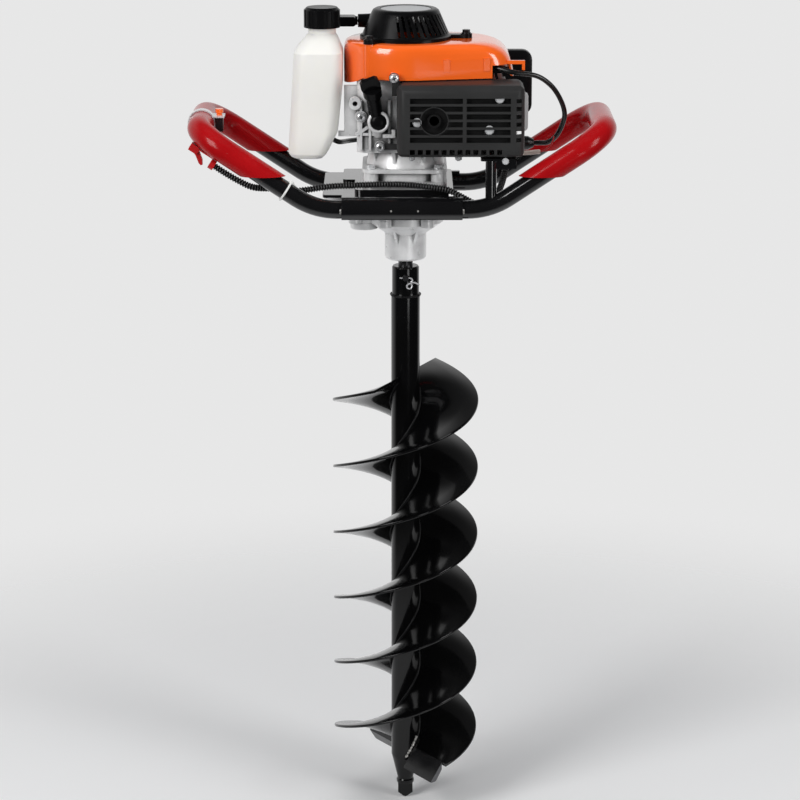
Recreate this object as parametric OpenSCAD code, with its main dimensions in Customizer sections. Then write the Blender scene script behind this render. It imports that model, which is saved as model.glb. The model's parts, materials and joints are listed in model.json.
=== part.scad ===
// One-operator earth auger: small four-stroke engine, reduction gearbox, looped handles, two-flight bit.
// Millimetres, +Z up. The origin is the pilot tip on the drill axis. The side with the guard is -Y.

/* [Bit] */
// Outer diameter of the two flights
flight_d = 204; // [170:1:230]
// Rise of a flight in one full turn
flight_lead = 194; // [160:1:220]
// Thickness of the flight plate
flight_t = 4; // [3:0.5:6]
// Height of the upper flight ends above the tip
flight_top = 630; // [560:5:680]
// Height of the lower flight ends above the tip
flight_low = 80; // [76:1:96]
// Angle of flight A's upper end, from +X
flight_angle = 65; // [0:5:355]
// Outer diameter of the bit tube
tube_d = 40; // [38:0.5:46]
// Wall of the bit tube
tube_wall = 3; // [2:0.5:4]
// Length of the bit from tip to socket face
bit_len = 787; // [760:1:860]
// Outer diameter of the drive socket
socket_d = 37.5; // [35:0.5:39]
// Length of the drive socket above the tube
socket_len = 41; // [36:1:60]
// Length of a cutter blade down its slope
blade_len = 33; // [26:1:38]
// Thickness of a cutter blade
blade_t = 6; // [4:0.5:8]

/* [Gearbox] */
// Diameter of the output shaft
shaft_d = 20; // [18:0.5:22]
// Open length of shaft between socket and gearbox
neck_gap = 11; // [8:1:20]
// Diameter of the output boss
boss_d = 57; // [56:0.5:62]
// Length of the output boss
boss_len = 36; // [34:1:40]
// Height of the funnel above the boss
funnel_h = 17; // [14:1:24]
// Thickness of the gearbox cover flange
flange_h = 10; // [9:1:14]
// Height of the gearbox case
case_h = 36.7; // [36:0.1:42]
// Wall around the gears
case_wall = 4; // [3:0.5:6]
// Module of the first gear pair
mod_1 = 1.5; // [1.4:0.05:1.6]
// Teeth of the input pinion
teeth_1 = 11; // [11:1:11]
// Teeth of the layshaft gear
teeth_2 = 65; // [65:1:65]
// Teeth of the layshaft pinion
teeth_3 = 12; // [12:1:12]
// Teeth of the output gear
teeth_4 = 45; // [45:1:45]

/* [Frame] */
// Outer diameter of the handle tube
bar_d = 25; // [22:0.5:28]
// Wall of the handle tube
bar_wall = 2; // [1.5:0.5:3]
// Distance of each bar from the drill axis
bar_y = 100; // [96:1:110]
// Shift of the handles along X
handle_dx = -5; // [-6:1:0]
// Half length of the bar up to its bend corner
bend_x = 117; // [112:1:126]
// Radius of the bar bends
bend_r = 100; // [70:5:110]
// Rise angle of the arms
arm_deg = 33.5; // [28:0.5:36]
// Arm length from bend corner to loop end
arm_len = 186; // [170:1:210]
// Radius of the loop corners
corner_r = 48; // [40:1:60]
// Outer diameter of the grips
grip_d = 34; // [32:0.5:36]
// Height of the grips' lower ends above the middle of the bars
grip_rise = 46; // [40:1:60]
// Thickness of the base plate
plate_t = 4; // [3:0.5:6]
// Thickness of the engine plate
pad_t = 6; // [5:0.5:8]

/* [Engine] */
// Height of the clutch housing
clutch_h = 26.3; // [26:0.1:30]
// Depth of the crankcase bell over the clutch
bell_h = 8.5; // [7:0.5:9]
// Height of the crankcase
crankcase_h = 122; // [118:1:128]
// Height of the fan shroud
shroud_h = 46; // [44:1:52]
// Radius of the fan shroud about the crank axis
shroud_r = 84; // [82:1:88]
// Height of the recoil starter cover
recoil_h = 40; // [38:1:46]
// Radius of the recoil starter cover at its foot
recoil_r = 62; // [60:0.5:64]
// Winding radius of the starter reel
reel_r = 30; // [28:1:32]
// Wall of pressed and moulded covers
shell_t = 2.4; // [1.8:0.1:3]
// Number of slots in the recoil cover
recoil_slots = 26; // [12:1:26]
// Radius of the disc on the recoil cover
disc_r = 34; // [30:0.5:36]
// Length of the starter handle
handle_len = 56; // [40:1:60]
// Height of the muffler guard
guard_h = 97.5; // [90:0.5:98]
// Pitch of the slot rows in the muffler guard
guard_pitch = 10.4; // [9:0.1:10.6]
// Height of a slot in the muffler guard
guard_slot = 7.2; // [5:0.1:8]
// Radius of the guard's front edges
guard_edge = 13; // [9:0.5:14]
// Outer diameter of the ribbed cable loom
loom_d = 9.4; // [7:0.2:9.4]

/* [Fits] */
// Radial clearance of shafts in bearings and bores
run_fit = 0.05; // [0.02:0.01:0.08]
// Gap between parts that are welded or bolted together
seat_gap = 0.2; // [0.1:0.05:0.3]
// Gap between parts that move past each other
move_gap = 0.5; // [0.4:0.1:0.8]

/* [Hidden] */
$fn = 64;
tube_r = tube_d / 2;
shaft_r = shaft_d / 2;
bar_r = bar_d / 2;
grip_r = grip_d / 2;
tube_top = bit_len - socket_len;
tube_low = 66;
pin_r = 4;
pin_z = bit_len - 13;
flight_turn = 360 * (flight_top - flight_low) / flight_lead;

// Heights of the stack from the bit upward
z_boss = bit_len + neck_gap;
z_funnel = z_boss + boss_len;
z_flange = z_funnel + funnel_h;
z_case = z_flange + flange_h;
z_plate = z_case + case_h;
z_pad = z_plate + plate_t;
z_clutch = z_pad + pad_t;
z_crank = z_clutch + clutch_h;
z_joint = z_crank - bell_h;
z_shroud = z_crank + crankcase_h;
z_recoil = z_shroud + shroud_h;
bar_z = z_plate - seat_gap - bar_r;
grip_z = bar_z + grip_rise;

// Gears: both pairs share one centre distance
lay_x = -mod_1 * (teeth_1 + teeth_2) / 2;
mod_2 = mod_1 * (teeth_1 + teeth_2) / (teeth_3 + teeth_4);
pressure_deg = 25;
tooth_top = 0.75;
tooth_root = 1.0;
backlash = 0.1;
lay_tip = mod_1 * (teeth_2 / 2 + tooth_top);
out_tip = mod_2 * (teeth_4 / 2 + tooth_top);
lay_case_r = lay_tip + case_wall + 1;
out_case_r = out_tip + case_wall + 1.5;
gear_4_z = z_case + 1;
gear_4_h = 14;
gear_2_z = gear_4_z + gear_4_h + 2;
gear_2_h = 6;
case_roof = z_case + case_h - 11.7;

// Ball bearings: outer radius, width
big_brg_r = 23.5;
big_brg_w = 14;
small_brg_r = 16;
small_brg_w = 9.5;
small_shaft_r = 6;
spigot_r = 20;

// Arm frame of the handles
bend_tan = bend_r * tan(arm_deg / 2);
corner_s = arm_len - corner_r;

// Shared shapes
module at_z(z) translate([0, 0, z]) children();

// Ring about Z, from its own floor up
module ring(ro, ri, h) difference() {
  cylinder(r = ro, h = h);
  if (ri > 0) at_z(-1) cylinder(r = ri, h = h + 2);
}

// Turns +Z of the children toward the viewer side, -Y
module to_front() rotate([90, 0, 0]) children();

// Turns +Z of the children toward +X
module to_right() rotate([0, 90, 0]) children();

// Box between two corners
module block(a, b) translate(a) cube(b - a);

// Flat rectangle with round corners, given by its limits
module round_rect(x0, x1, y0, y1, r) {
  translate([x0 + r, y0]) square([x1 - x0 - 2 * r, y1 - y0]);
  translate([x0, y0 + r]) square([x1 - x0, y1 - y0 - 2 * r]);
  for (x = [x0 + r, x1 - r], y = [y0 + r, y1 - r]) translate([x, y]) circle(r);
}

// Upright slab with round corners
module slab(x0, x1, y0, y1, z0, z1, r) at_z(z0) linear_extrude(z1 - z0) round_rect(x0, x1, y0, y1, r);

// Web in the plane of +X and +Z, from one radius at its foot to another at its top
module gusset(r0, r1, z0, z1) translate([0, 2, 0]) to_front() linear_extrude(4)
  polygon([[r0, z0], [r1, z1], [r0 - 4, z1], [r0 - 4, z0]]);

// Hexagon prism by its width across flats
module hex(flats, h) cylinder(r = flats / 2 / cos(30), h = h, $fn = 6);

function unit(v) = v / norm(v);
function arc(c, r, a0, a1, n) = [for (i = [0:n]) let (a = a0 + (a1 - a0) * i / n) c + r * [cos(a), sin(a)]];
function lift(ring, z) = [for (p = ring) [p[0], p[1], z]];
function reversed(list) = [for (i = [len(list) - 1:-1:0]) list[i]];

// Outline of a round-cornered rectangle, counterclockwise
function round_ring(x0, x1, y0, y1, r, n = 6) = concat(
  arc([x1 - r, y0 + r], r, -90, 0, n), arc([x1 - r, y1 - r], r, 0, 90, n),
  arc([x0 + r, y1 - r], r, 90, 180, n), arc([x0 + r, y0 + r], r, 180, 270, n));

// Side triangles between neighbouring rings of n points
function band(k, j, n) = [for (i = [0:n - 1])
  let (a = k * n + i, b = k * n + (i + 1) % n, c = j * n + (i + 1) % n, d = j * n + i)
  each [[a, d, c], [a, c, b]]];

// Solid through a row of rings, with a flat face at each end
module skin(rings) {
  n = len(rings[0]);
  m = len(rings);
  polyhedron([for (r = rings) each r], concat(
    [[for (i = [0:n - 1]) i]],
    [for (k = [0:m - 2]) each band(k, k + 1, n)],
    [[for (i = [n - 1:-1:0]) (m - 1) * n + i]]));
}

// Solid through a closed row of rings: the last one joins the first
module skin_loop(rings) {
  n = len(rings[0]);
  m = len(rings);
  polyhedron([for (r = rings) each r], [for (k = [0:m - 1]) each band(k, (k + 1) % m, n)]);
}

// Smooth path through points, with so many steps in each stretch
function curve_at(a, b, c, d, t) = 0.5 * (2 * b + (c - a) * t + (2 * a - 5 * b + 4 * c - d) * t * t
  + (3 * b - a - 3 * c + d) * t * t * t);
function stretch_points(p, i, n) = let (m = len(p) - 1)
  [for (k = [0:n - 1]) curve_at(p[max(i - 1, 0)], p[i], p[i + 1], p[min(i + 2, m)], k / n)];
function smooth(p, step) = concat(
  [for (i = [0:len(p) - 2]) each stretch_points(p, i, max(1, round(norm(p[i + 1] - p[i]) / step)))],
  [p[len(p) - 1]]);
function heading(p, i) = unit(p[min(i + 1, len(p) - 1)] - p[max(i - 1, 0)]);

// Side direction carried along a path without twist
function carry(p, i, s) = i >= len(p) ? [] :
  let (t = heading(p, i), u = unit(s - (s * t) * t)) concat([u], carry(p, i + 1, u));
function hoops(p, radii, n, seed) = let (side = carry(p, 0, seed))
  [for (i = [0:len(p) - 1]) let (t = heading(p, i), u = side[i], v = cross(t, u))
    [for (k = [0:n - 1]) p[i] + radii[i] * (cos(360 * k / n) * u + sin(360 * k / n) * v)]];

// Involute tooth outlines
function involute(a) = tan(a) * 180 / PI - a;
function flank_turn(r, rb) = r <= rb ? 0 : involute(acos(rb / r));
function gear_outline(z, m) =
  let (rp = m * z / 2, rb = rp * cos(pressure_deg), rf = rp - tooth_root * m, rt = rp + tooth_top * m,
    low = max(rf, rb), half = 90 / z - backlash / rp * 90 / PI + involute(pressure_deg),
    rs = concat(rf < rb ? [rf] : [], [low, (low + rt) / 2, rt]))
  [for (k = [0:z - 1]) each concat(
    [for (r = rs) let (a = 360 * k / z - half + flank_turn(r, rb)) r * [cos(a), sin(a)]],
    [for (r = reversed(rs)) let (a = 360 * k / z + half - flank_turn(r, rb)) r * [cos(a), sin(a)]])];

// Bit
module auger_tube() color("#1b1b1d") at_z(tube_low) ring(tube_r, tube_r - tube_wall, tube_top - tube_low);

module drive_socket() color("#1b1b1d") difference() {
  union() {
    at_z(tube_top) cylinder(d = socket_d, h = socket_len - 2);
    at_z(bit_len - 2) cylinder(d1 = socket_d, d2 = socket_d - 3, h = 2);
    at_z(tube_top) cylinder(d1 = tube_d - 0.6, d2 = socket_d, h = 3);
    at_z(tube_top - 30) cylinder(r = tube_r - tube_wall - seat_gap, h = 31);
  }
  at_z(bit_len - 55) cylinder(r = shaft_r + run_fit, h = 56);
  at_z(pin_z) to_front() cylinder(r = pin_r + run_fit, h = socket_d + 2, center = true);
}

module pilot_point() color("#1b1b1d") {
  rotate_extrude() polygon([[0, 22], [12, 22], [12.5, 23], [12.5, 27], [11, 29],
    [tube_r - 0.4, tube_low - 1], [tube_r - 0.4, tube_low], [0, tube_low]]);
  translate([0, 4.5, 0]) to_front() linear_extrude(9)
    polygon([[-10.5, 22.5], [10.5, 22.5], [10.5, 7], [3, 1.4], [0, 0], [-3, 1.4], [-10.5, 7]]);
}

// One helical plate, from its lower end upward
module flight(angle) {
  steps = ceil(flight_turn / 7.5);
  ri = tube_r + seat_gap;
  ro = flight_d / 2;
  skin([for (i = [0:steps]) let (a = angle - flight_turn * (1 - i / steps),
      z = flight_low + (flight_top - flight_low) * i / steps, c = cos(a), s = sin(a),
      lo = z - flight_t / 2, hi = z + flight_t / 2)
    [[ri * c, ri * s, lo], [ri * c, ri * s, hi], [ro * c, ro * s, hi], [ro * c, ro * s, lo]]]);
}
module flight_a() color("#1b1b1d") flight(flight_angle);
module flight_b() color("#1b1b1d") flight(flight_angle + 180);

// Sloping blade at the lower end of each flight
module blade(angle) rotate(angle - flight_turn) {
  down = unit([-18, -27]);
  under = [-down[1], down[0]] * blade_t;
  top = [-seat_gap, flight_low + flight_t / 2];
  tip = top + down * blade_len;
  heel = top + under;
  back = heel + down * ((top[0] - heel[0]) / down[0]);
  rotate([90, 0, 90]) at_z(tube_r + 2) linear_extrude(flight_d / 2 - tube_r - 12)
    polygon([top, back, heel + down * (blade_len - 5), tip]);
}
module cutter_blades() color("#202022") {
  blade(flight_angle);
  blade(flight_angle + 180);
}

// Pin through socket and shaft, with its cross hole for the clip
module coupling_pin() color("#b9bcc0") at_z(pin_z) to_front() difference() {
  union() {
    at_z(-24) cylinder(r = pin_r, h = 52);
    at_z(-26.5) cylinder(r = 7, h = 4.5);
  }
  at_z(24) to_right() cylinder(r = 1.1 + 0.3, h = 20, center = true);
}

// Spring clip in the pin: straight leg, eye and tail
module r_clip() color("#c4c7ca") {
  wire = 1.1;
  eye_r = 3.6;
  eye = [for (i = [0:8]) let (a = 60 - 300 * i / 8)
    [5.2 + eye_r * cos(a), -1.2 - i * 0.36, -11 + eye_r * sin(a)]];
  path = concat([[-8, 0, 0], [0, 0, 0], [7, 0, -0.3], [9.2, -0.4, -3]], eye,
    [[8.2, -4.1, -5.8], [12, -4.1, -5.4], [19, -4.1, -8.6]]);
  p = smooth([for (q = path) q + [0, -24, pin_z]], 2.2);
  skin(hoops(p, [for (q = p) wire], 8, [0, 1, 0]));
}

// Drive train
module output_shaft() color("#9fa3a8") difference() {
  union() {
    at_z(bit_len - 54) cylinder(r = shaft_r, h = z_flange + 4 - bit_len + 54);
    at_z(z_flange + 4) hex(shaft_d, gear_4_z + gear_4_h - z_flange - 4);
  }
  at_z(pin_z) to_front() cylinder(r = pin_r + run_fit, h = shaft_d + 4, center = true);
}

module output_gear() color("#8b8f94") at_z(gear_4_z) linear_extrude(gear_4_h) difference() {
  polygon(gear_outline(teeth_4, mod_2));
  circle(r = (shaft_d + 0.2) / 2 / cos(30), $fn = 6);
}

module layshaft() color("#9fa3a8") translate([lay_x, 0, 0]) {
  at_z(z_flange - 5) cylinder(r = small_shaft_r, h = gear_4_z - z_flange + 5);
  at_z(gear_4_z) linear_extrude(gear_4_h + 1) polygon(gear_outline(teeth_3, mod_2));
  at_z(gear_4_z + gear_4_h + 1) hex(14, gear_2_h + 1);
  at_z(gear_2_z + gear_2_h) cylinder(r = small_shaft_r, h = case_roof + small_brg_w - gear_2_z - gear_2_h);
}

module lay_gear() color("#8b8f94") translate([lay_x, 0, gear_2_z]) linear_extrude(gear_2_h - 0.2)
  difference() {
    polygon(gear_outline(teeth_2, mod_1));
    circle(r = 14.2 / 2 / cos(30), $fn = 6);
    for (i = [0:5]) rotate(60 * i + 30) translate([27, 0]) circle(8, $fn = 8);
  }

module clutch_drum() color("#6e7277") {
  at_z(gear_2_z - 0.6) linear_extrude(gear_2_h + 1.2) polygon(gear_outline(teeth_1, mod_1));
  at_z(gear_2_z + gear_2_h + 0.6) cylinder(r = small_shaft_r, h = z_clutch + 6 - gear_2_z - gear_2_h);
  at_z(z_clutch + 4.2) rotate_extrude()
    polygon([[0, 0], [38.5, 0], [38.5, 18], [36, 18], [36, 2.5], [0, 2.5]]);
}

module crankshaft() color("#a9adb2") {
  at_z(z_clutch + 8.5) cylinder(r = 9, h = z_crank - z_clutch - 7);
  at_z(z_crank + 1) cylinder(r = 10, h = crankcase_h - 3);
  at_z(z_shroud - 2.5) cylinder(r = 8, h = shroud_h - 6);
}

module clutch_shoes() color("#55585c") at_z(z_clutch + 9.5) {
  ring(16, 9 + run_fit, 11);
  linear_extrude(11) for (a = [0, 180]) rotate(a) difference() {
    circle(35);
    circle(16.4);
    translate([-40, -80]) square([80, 84]);
  }
}

module flywheel() color("#b4b7ba") at_z(z_shroud + 3) {
  difference() {
    union() {
      cylinder(r = 66, h = 9);
      cylinder(r = 20, h = 26);
    }
    at_z(-1) cylinder(r = 8 + run_fit, h = 30);
    for (i = [0:5]) rotate(60 * i) translate([42, 0, -1]) cylinder(r = 9, h = 12);
  }
  for (i = [0:17]) rotate(20 * i) translate([50, 0, 8.5]) rotate(25) translate([0, -1.2, 0])
    cube([13, 2.4, 18]);
}

// Bearings
module output_bearings() color("#aeb2b6") for (z = [z_boss + 6, z_flange - 10])
  at_z(z + seat_gap) ring(big_brg_r, shaft_r + run_fit, big_brg_w - 2 * seat_gap);

module small_bearings() color("#aeb2b6") {
  for (z = [z_flange - 5, case_roof]) translate([lay_x, 0, z + seat_gap])
    ring(small_brg_r, small_shaft_r + run_fit, small_brg_w - 2 * seat_gap);
  at_z(z_plate + 2 * seat_gap) ring(small_brg_r, small_shaft_r + run_fit, small_brg_w - 2 * seat_gap);
}

// Gearbox housing
lug_spots = [[29.5, 51.2], [-28, 52], [lay_x - 12, 20], [lay_x - 12, -20], [-28, -52], [29.5, -51.2]];
lug_r = 9;
lug_sink = 5.6;
low_case_r = small_brg_r + case_wall + 2;
case_step = gear_2_z - 5;
module case_outline(grow = 0) {
  circle(out_case_r + grow);
  translate([lay_x, 0]) circle(lay_case_r + grow);
  translate([lay_x, -out_case_r - grow + 1]) square([-lay_x, 2 * (out_case_r + grow - 1)]);
}
module low_outline() {
  circle(out_case_r);
  translate([lay_x, 0]) circle(low_case_r);
  translate([lay_x, -low_case_r]) square([-lay_x, 2 * low_case_r]);
  for (p = lug_spots) translate(p) circle(lug_r);
}

module gearbox_case() color("#c9cbcd") difference() {
  union() {
    at_z(z_case) linear_extrude(case_step - z_case + 1) low_outline();
    at_z(case_step) linear_extrude(z_plate - seat_gap - case_step) case_outline();
  }
  at_z(z_case - 1) {
    cylinder(r = out_case_r - case_wall, h = case_roof - z_case + 1);
    translate([lay_x, 0, 0]) cylinder(r = low_case_r - case_wall, h = case_roof - z_case + 1);
  }
  translate([lay_x, 0, gear_2_z - 2]) cylinder(r = lay_case_r - case_wall, h = case_roof - gear_2_z + 2);
  at_z(case_roof - 1) cylinder(r = 10.5, h = 20);
  translate([lay_x, 0, case_roof - 1]) cylinder(r = small_brg_r + run_fit, h = small_brg_w + 1.5);
  for (p = lug_spots) translate([p[0], p[1], z_case - 1]) cylinder(r = 3.2, h = 10);
}

module gearbox_cover() color("#c9cbcd") difference() {
  union() {
    at_z(z_boss) cylinder(d1 = boss_d - 5, d2 = boss_d, h = 2.5);
    at_z(z_boss + 2.5) cylinder(d = boss_d, h = boss_len - 2);
    at_z(z_funnel) cylinder(d1 = boss_d, r2 = out_case_r, h = funnel_h);
    at_z(z_flange) linear_extrude(flange_h - seat_gap) low_outline();
    translate([lay_x, 0, z_flange - 11]) cylinder(r1 = 18.5, r2 = 20, h = 12);
    for (a = [65, 115, 245, 295]) rotate(a)
      gusset(boss_d / 2 - 1, boss_d / 2 + 15, z_funnel - 14, z_flange + 1);
  }
  at_z(z_boss - 1) cylinder(r = shaft_r + move_gap, h = 8);
  at_z(z_boss + 6) cylinder(r = big_brg_r + run_fit, h = big_brg_w);
  at_z(z_boss + 5) cylinder(r = big_brg_r - 3, h = 60);
  at_z(z_flange - 10) cylinder(r = big_brg_r + run_fit, h = flange_h + 12);
  translate([lay_x, 0, z_flange - 5]) cylinder(r = small_brg_r + run_fit, h = flange_h + 6);
  translate([lay_x, 0, z_flange - 8]) cylinder(r = 9, h = 10);
  for (p = lug_spots) translate([p[0], p[1], z_flange - 1]) {
    cylinder(r = 3.2, h = flange_h + 2);
    cylinder(r = 6.8, h = lug_sink + 1);
  }
}

// Handle frame: straight tubes lap over the ends of the bends, which are a hair thinner
lap = 1.5;
lap_step = 0.04;
module annulus(ro, ri) difference() {
  circle(ro);
  if (ri > 0) circle(ri);
}
module bend(radius, turn, ro, ri) rotate(-90) rotate_extrude(angle = turn) translate([radius, 0])
  annulus(ro - lap_step, ri > 0 ? ri + lap_step : 0);
module arm_frame() translate([bend_x, -bar_y, bar_z]) rotate([0, -arm_deg, 0]) children();
module arm_run(ro, ri) arm_frame() {
  translate([bend_tan - lap, 0, 0]) to_right() ring(ro, ri, corner_s - bend_tan + 2 * lap);
  translate([corner_s, corner_r, 0]) bend(corner_r, 90, ro, ri);
}
module cross_run(ro, ri, past) arm_frame() translate([arm_len, corner_r - lap, 0]) rotate([-90, 0, 0])
  ring(ro, ri, past);
module bend_run(ro, ri) translate([bend_x - bend_tan, -bar_y, bar_z + bend_r]) to_front()
  bend(bend_r, arm_deg, ro, ri);
module handle_tube(ro, ri) translate([handle_dx, 0, 0]) {
  translate([bend_tan - bend_x - lap, -bar_y, bar_z]) to_right() ring(ro, ri, 2 * (bend_x - bend_tan + lap));
  for (m = [0, 1]) mirror([m, 0, 0]) {
    bend_run(ro, ri);
    arm_run(ro, ri);
    cross_run(ro, ri, bar_y - corner_r + lap);
  }
}
module front_tube() color("#151516") handle_tube(bar_r, bar_r - bar_wall);
module rear_tube() color("#151516") mirror([0, 1, 0]) handle_tube(bar_r, bar_r - bar_wall);

// Grip sleeve over one loop, cut level at its two lower ends
module grip() difference() {
  union() {
    for (m = [0, 1]) mirror([0, m, 0]) arm_run(grip_r, bar_r + seat_gap);
    cross_run(grip_r, bar_r + seat_gap, 2 * (bar_y - corner_r + lap));
  }
  block([0, -bar_y - 60, bar_z - 100], [bend_x + arm_len, bar_y + 60, grip_z]);
}
module right_grip() color("#c8161d") translate([handle_dx, 0, 0]) grip();
module left_grip() color("#c8161d") translate([handle_dx, 0, 0]) mirror([1, 0, 0]) grip();

// Places in the frame of the front left arm: x outward, y toward -Y, z above the arm
module left_arm() translate([handle_dx - bend_x, -bar_y, bar_z]) rotate(180) rotate([0, -arm_deg, 0])
  children();

// Bolt places by group; +Z points out of the bolted face
housing_spots = [[-47, -45], [44, -45], [-47, 45], [44, 45]];
recoil_lugs = [[0, 82], [120, 73], [232, 79]];
guard_x0 = -12;
guard_x1 = 158;
guard_z1 = z_shroud - 1.5;
guard_z0 = guard_z1 - guard_h;
guard_front = 116;
guard_back = 58;
guard_low = [guard_x0 - 22.5, guard_z0 + 7.3];
guard_top = [-15.5, z_shroud + 4.5];
guard_lug = 90;
lug_t = 2.2;
muffler_front = 108;
muffler_spots = [[124.6, 18.5], [111, 60.5], [14.7, 50.5]];
module bolt_places(group) {
  if (group == "cover") for (p = lug_spots) translate([p[0], p[1], z_flange + lug_sink - seat_gap])
    rotate([180, 0, 0]) children();
  if (group == "flange") for (p = housing_spots) translate([p[0], p[1], z_joint + 5]) children();
  if (group == "recoil") for (p = recoil_lugs) rotate(p[0]) translate([p[1], 0, z_recoil + 6]) children();
  if (group == "guard_low") translate([guard_low[0], -67, guard_low[1]]) to_front() children();
  if (group == "guard_top") translate([guard_top[0], -guard_lug, guard_top[1]]) to_front() children();
  if (group == "front") translate([-60, -61, z_shroud - 52]) to_front() children();
  if (group == "strut") translate([133, -104, bracket_z + 0.4]) to_front() children();
  if (group == "muffler") for (p = muffler_spots) translate([p[0], -muffler_front, guard_z1 - p[1]])
    to_front() children();
}
module bolt_holes(group) bolt_places(group) at_z(-6) cylinder(r = 3.2, h = 7);
module bolt(shank, k = 1) {
  at_z(-shank) cylinder(r = 3 * k, h = shank + 0.5);
  cylinder(r = 6.2 * k, h = 1.4);
  at_z(1.2) hex(9 * k, 4 * k);
}
module flange_bolts() color("#c2c5c8") {
  for (g = ["flange", "recoil", "guard_low", "guard_top", "front", "muffler"]) bolt_places(g) bolt(5);
  bolt_places("cover") bolt(12);
  bolt_places("strut") bolt(5, 0.72);
}

// Plates between bars and engine
saddle_x0 = -86;
saddle_x1 = 76;
saddle_in = 92;
sheet_x0 = -112;
sheet_x1 = 58;
module saddle_profile() {
  r = bar_r + seat_gap;
  translate([saddle_in, z_plate]) square([bar_y - saddle_in, plate_t]);
  translate([bar_y, bar_z]) difference() {
    circle(r + plate_t);
    circle(r);
    translate([-50, -50]) square([50, 100]);
    translate([-50, -50]) square([100, 50 - bar_r + 0.5]);
  }
}
module saddle() translate([saddle_x0, 0, 0]) rotate([90, 0, 90]) linear_extrude(saddle_x1 - saddle_x0)
  saddle_profile();
module base_plate() color("#121213") difference() {
  union() {
    saddle();
    mirror([0, 1, 0]) saddle();
    slab(saddle_x0, sheet_x1, -saddle_in - 4, saddle_in + 4, z_plate, z_pad, 6);
    slab(sheet_x0, saddle_x0 + 20, -saddle_in + 8, saddle_in - 8, z_plate, z_pad, 6);
  }
  at_z(z_plate - 1) cylinder(r = spigot_r + seat_gap, h = plate_t + 2);
}
module engine_plate() color("#121213") difference() {
  union() {
    slab(-69, 64, -79, 79, z_pad, z_clutch, 10);
    slab(-86, -58, -3, 79, z_pad, z_clutch, 6);
  }
  at_z(z_pad - 1) cylinder(r = spigot_r + seat_gap, h = pad_t + 2);
}

// Post from the front bar to a bracket under the cylinder
strut_x = 114;
strut_y = -100;
bracket_z = guard_z0 - 6;
module support_strut() color("#131314") difference() {
  union() {
    translate([strut_x, strut_y, bar_z]) cylinder(r = 7.5, h = bracket_z - bar_z + 1);
    slab(100, 148, -104, -44 - seat_gap, bracket_z, bracket_z + 3.8, 5);
    block([118, -104, bracket_z - 10], [148, -100, bracket_z + 3.8]);
  }
  translate([handle_dx, 0, 0]) bend_run(bar_r + seat_gap + lap_step, 0);
  bolt_holes("strut");
}

// Clutch housing with its spigot through both plates
module clutch_housing() color("#c6c8ca") difference() {
  union() {
    slab(-59, 56, -57, 57, z_clutch, z_clutch + 5, 16);
    at_z(z_clutch + 4) cylinder(r = 52, h = z_joint - z_clutch - 4);
    for (p = housing_spots) translate([p[0], p[1], z_clutch + 4])
      cylinder(r = 10, h = z_joint - z_clutch - 4);
    at_z(z_plate + seat_gap) cylinder(r = spigot_r, h = z_clutch - z_plate);
  }
  at_z(z_clutch + 3.3) cylinder(r = 41, h = clutch_h);
  at_z(z_plate - 1) cylinder(r = small_brg_r + run_fit, h = small_brg_w + 1.2);
  at_z(z_plate) cylinder(r = 10.5, h = 40);
}

// Crankcase with its bosses, ribs and tank bracket
boss_at = [-68, -64, z_shroud - 34];
oil_at = [-39.5, -60, z_shroud - 52];
oil_tilt = [28, -8, 0];
oil_neck_r = 9.5;
oil_len = 36;
module oil_frame() translate(oil_at) rotate(oil_tilt) children();
module crankcase() color("#c9cbcd") difference() {
  union() {
    at_z(z_shroud - 4.2) cylinder(r = 78, h = 4);
    slab(-59, 56, -57, 57, z_joint, z_joint + 5, 16);
    at_z(z_joint + 4) cylinder(r1 = 54, r2 = 47, h = bell_h + 20);
    slab(-66, 48, -56, 56, z_crank + 20, z_shroud - 4, 14);
    translate(boss_at) rotate([-90, 0, 0]) cylinder(r = 8.3, h = 36);
    oil_frame() at_z(-26) cylinder(r = 13, h = 26 - seat_gap);
    translate([oil_at[0] + 3, -62, oil_at[2] - 6]) to_front() cylinder(r = 15, h = 5);
    bolt_places("front") at_z(-14) cylinder(r = 8, h = 14);
    bolt_places("guard_low") at_z(-14) cylinder(r = 7.5, h = 14 - lug_t);
    for (x = [-62, -50, -24]) block([x, -61, z_crank + 24], [x + 3.5, -50, z_shroud - 30]);
    block([-64, -60, z_crank + 44], [-14, -50, z_crank + 48]);
    block([-83, -46, z_crank + 41], [-60, -40, z_crank + 110]);
    block([-91, -46, z_crank + 41], [-62, -34, z_crank + 47]);
    for (a = [217, 253, 299, 321, 37, 73, 119, 141]) rotate(a) gusset(50, 57, z_joint + 6, z_crank + 21);
    translate([-66, -50, z_crank + 43]) rotate([0, -34.5, 0]) translate([0, -11, 0]) cube([36, 11, 4]);
    block([-31, -66, z_crank + 42], [-14, -54, z_crank + 47]);
    block([-19, -66, z_crank + 42], [-14, -54, z_crank + 53]);
  }
  at_z(z_crank - 6) cylinder(r = 10 + run_fit, h = crankcase_h + 7);
  at_z(z_joint - 1) cylinder(r = 41, h = bell_h - 2);
  block([guard_x0 - 15, -90, z_shroud - 5], [90, -guard_back + move_gap, z_shroud]);
  oil_frame() cylinder(r = oil_neck_r + seat_gap, h = 40);
  translate(boss_at) rotate([-90, 0, 0]) at_z(-1) cylinder(r = 3.3, h = 17);
  bolt_holes("flange");
  bolt_holes("front");
  bolt_holes("guard_low");
}

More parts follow.
